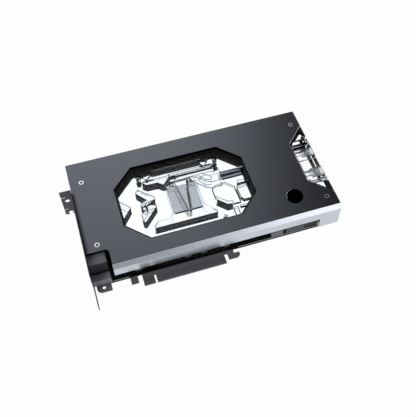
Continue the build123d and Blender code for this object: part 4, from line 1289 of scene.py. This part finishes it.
@dataclass
class Studio:
    """Floor, sky, lamp and camera."""

    shop: Workshop
    eye: Point = (-86.52, -365.60, 551.19)
    right: Point = (0.95431513, -0.29874818, -0.00567136)
    down: Point = (-0.25008456, -0.78818992, -0.56232941)
    forward: Point = (0.16352478, 0.53805778, -0.82689387)
    lens: float = 53.76
    sensor: float = 36.0
    floor_size: float = 6000.0
    floor_level: float = -0.3
    paper: str = "#e8eaee"
    glow: float = 1.03
    seen_share: float = 0.94
    gloss_share: float = 0.55
    sky_tint: tuple[float, float, float, float] = (0.97, 0.985, 1.0, 1.0)
    bright: float = 1.05
    # the soft box over the far side fades towards the right, a little towards the left, and overhead
    box_ramps: tuple[Ramp, ...] = (
        Ramp("X", 0.16, 0.36, 1.0, 0.02),
        Ramp("X", -0.35, 0.08, 0.6, 1.0),
        Ramp("Y", 0.42, 0.70, 0.46, 1.19, "LINEAR"),
    )
    # behind the camera the room is dark overhead and turns white towards the right at the horizon
    room_ramps: tuple[Ramp, ...] = (Ramp("X", 0.09, 0.34, 0.28, 1.5), Ramp("Z", 0.25, 0.55, 1.0, 0.02))
    far: Ramp = Ramp("Y", -0.1, 0.15)
    # what shows through the clear parts is the white backdrop on the far side, and the dark room elsewhere
    beyond: Ramp = Ramp("Y", 0.14, 0.30, 0.02, 1.38)
    lamp_at: Point = (-900.0, -500.0, 1300.0)
    lamp_aim: Point = (0.0, 0.0, 20.0)
    lamp_size: float = 900.0
    lamp_power: float = 6.0

    def floor(self) -> None:
        """Build the pale floor."""
        self.shop.clear_selection()
        bpy.ops.mesh.primitive_plane_add(size=self.floor_size * MM, location=(0.0, 0.0, self.floor_level * MM))
        plane = bpy.context.object
        plane.name = "studio_floor"
        material = bpy.data.materials.new("matte_studio_paper")
        material.use_nodes = True
        tree = material.node_tree
        tree.nodes.clear()
        output = add_node(tree, "ShaderNodeOutputMaterial")
        path = add_node(tree, "ShaderNodeLightPath")
        paper = add_node(tree, "ShaderNodeBsdfDiffuse", {"Color": hex_colour(self.paper)})
        glow = add_node(tree, "ShaderNodeEmission", {"Color": WHITE, "Strength": self.glow})
        # the share of plain glow that each kind of ray sees; the rest is paper, which keeps the shadow
        rays = {0: path.outputs["Is Camera Ray"], 1: path.outputs["Is Transmission Ray"]}
        plain = add_node(tree, "ShaderNodeMath", rays, operation="MAXIMUM").outputs[0]
        seen = add_node(tree, "ShaderNodeMath", {0: plain, 1: self.seen_share}, operation="MULTIPLY")
        mirrored = {0: path.outputs["Is Glossy Ray"], 1: self.gloss_share}
        gloss = add_node(tree, "ShaderNodeMath", mirrored, operation="MULTIPLY")
        share = add_node(tree, "ShaderNodeMath", {0: seen.outputs[0], 1: gloss.outputs[0]}, operation="MAXIMUM")
        both = {0: share.outputs[0], 1: paper.outputs[0], 2: glow.outputs[0]}
        mixed = add_node(tree, "ShaderNodeMixShader", both)
        tree.links.new(mixed.outputs[0], output.inputs["Surface"])
        plane.data.materials.append(material)

    def sky(self) -> None:
        """Build the world: a broad soft box over the far left, a grey room behind the camera."""
        world = bpy.data.worlds.new("studio_world")
        bpy.context.scene.world = world
        world.use_nodes = True
        tree = world.node_tree
        tree.nodes.clear()
        output = add_node(tree, "ShaderNodeOutputWorld")
        place = add_node(tree, "ShaderNodeTexCoord")
        path = add_node(tree, "ShaderNodeLightPath")
        axes = add_node(tree, "ShaderNodeSeparateXYZ", {0: place.outputs["Generated"]})
        box, room, far, beyond = (
            [
                add_node(tree, "ShaderNodeMapRange", ramp.values(axes), interpolation_type=ramp.kind).outputs[0]
                for ramp in ramps
            ]
            for ramps in (self.box_ramps, self.room_ramps, (self.far,), (self.beyond,))
        )
        levels = []
        for factors in ([*box, self.bright], room):
            level = factors[0]
            for factor in factors[1:]:
                level = add_node(tree, "ShaderNodeMath", {0: level, 1: factor}, operation="MULTIPLY").outputs[0]
            levels.append(level)
        side, level = levels
        # from the room to the soft box, then what clear parts show, then the plain white that the camera sees
        steps = (
            (far[0], side),
            (path.outputs["Is Transmission Ray"], beyond[0]),
            (path.outputs["Is Camera Ray"], 1.0),
        )
        for share, other in steps:
            mix = add_node(tree, "ShaderNodeMix", {0: share, 2: level, 3: other}, data_type="FLOAT")
            level = mix.outputs[0]
        glow = add_node(tree, "ShaderNodeBackground", {"Color": self.sky_tint, "Strength": level})
        tree.links.new(glow.outputs[0], output.inputs["Surface"])

    def lamp(self) -> None:
        """Add one large soft lamp from the upper left."""
        self.shop.clear_selection()
        bpy.ops.object.light_add(type="AREA", location=[c * MM for c in self.lamp_at])
        lamp = bpy.context.object
        lamp.name = "soft_key"
        lamp.data.shape = "DISK"
        lamp.data.size = self.lamp_size * MM
        lamp.data.energy = self.lamp_power
        lamp.visible_glossy = False
        lamp.visible_transmission = False
        way = Vector(self.lamp_aim) * MM - lamp.location
        lamp.rotation_euler = way.to_track_quat("-Z", "Y").to_euler()

    def camera(self) -> None:
        """Set the camera at the photograph's viewing angle."""
        self.shop.clear_selection()
        bpy.ops.object.camera_add(location=[c * MM for c in self.eye])
        camera = bpy.context.object
        right, up, back = Vector(self.right), -Vector(self.down), -Vector(self.forward)
        turn = Matrix((right, up, back)).transposed()
        camera.matrix_world = Matrix.Translation(Vector(self.eye) * MM) @ turn.to_4x4()
        camera.data.lens = self.lens
        camera.data.sensor_width = self.sensor
        camera.data.sensor_fit = "AUTO"
        camera.data.clip_start = 0.01
        camera.data.clip_end = 50.0
        bpy.context.scene.camera = camera
        bpy.context.scene.view_settings.view_transform = "Standard"


SMALL_PARTS = (
    CornerFacets, WindowShadeBand, EdgeContacts, BoardEdgeHighlight, PortThreads, BadgeRim, PanScrews, SolderedParts,
    DriverChips, ConnectorContacts, PowerPins,
)


def corners(box: Iterable[Any]) -> list[list[float]]:
    """Turn a box's corners into plain lists of numbers."""
    return [[float(c) for c in corner] for corner in box]


def main() -> None:
    """Load the frame, dress it, add the small parts and set up the studio."""
    logging.basicConfig(level=logging.INFO, format="%(name)s: %(message)s")
    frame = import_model()
    shop = Workshop()
    studio = Studio(shop)
    studio.camera()
    FrameSkin(shop, frame["nodes"]).dress()
    for clear_part in (ClearPlate, ClearTerminal):
        clear_part(shop, frame["nodes"][clear_part.node]).build()
    for small_part in SMALL_PARTS:
        small_part(shop).build()
    studio.floor()
    studio.sky()
    studio.lamp()
    LOG.info("pieces added: %d", shop.count)


if __name__ == "__main__":
    main()
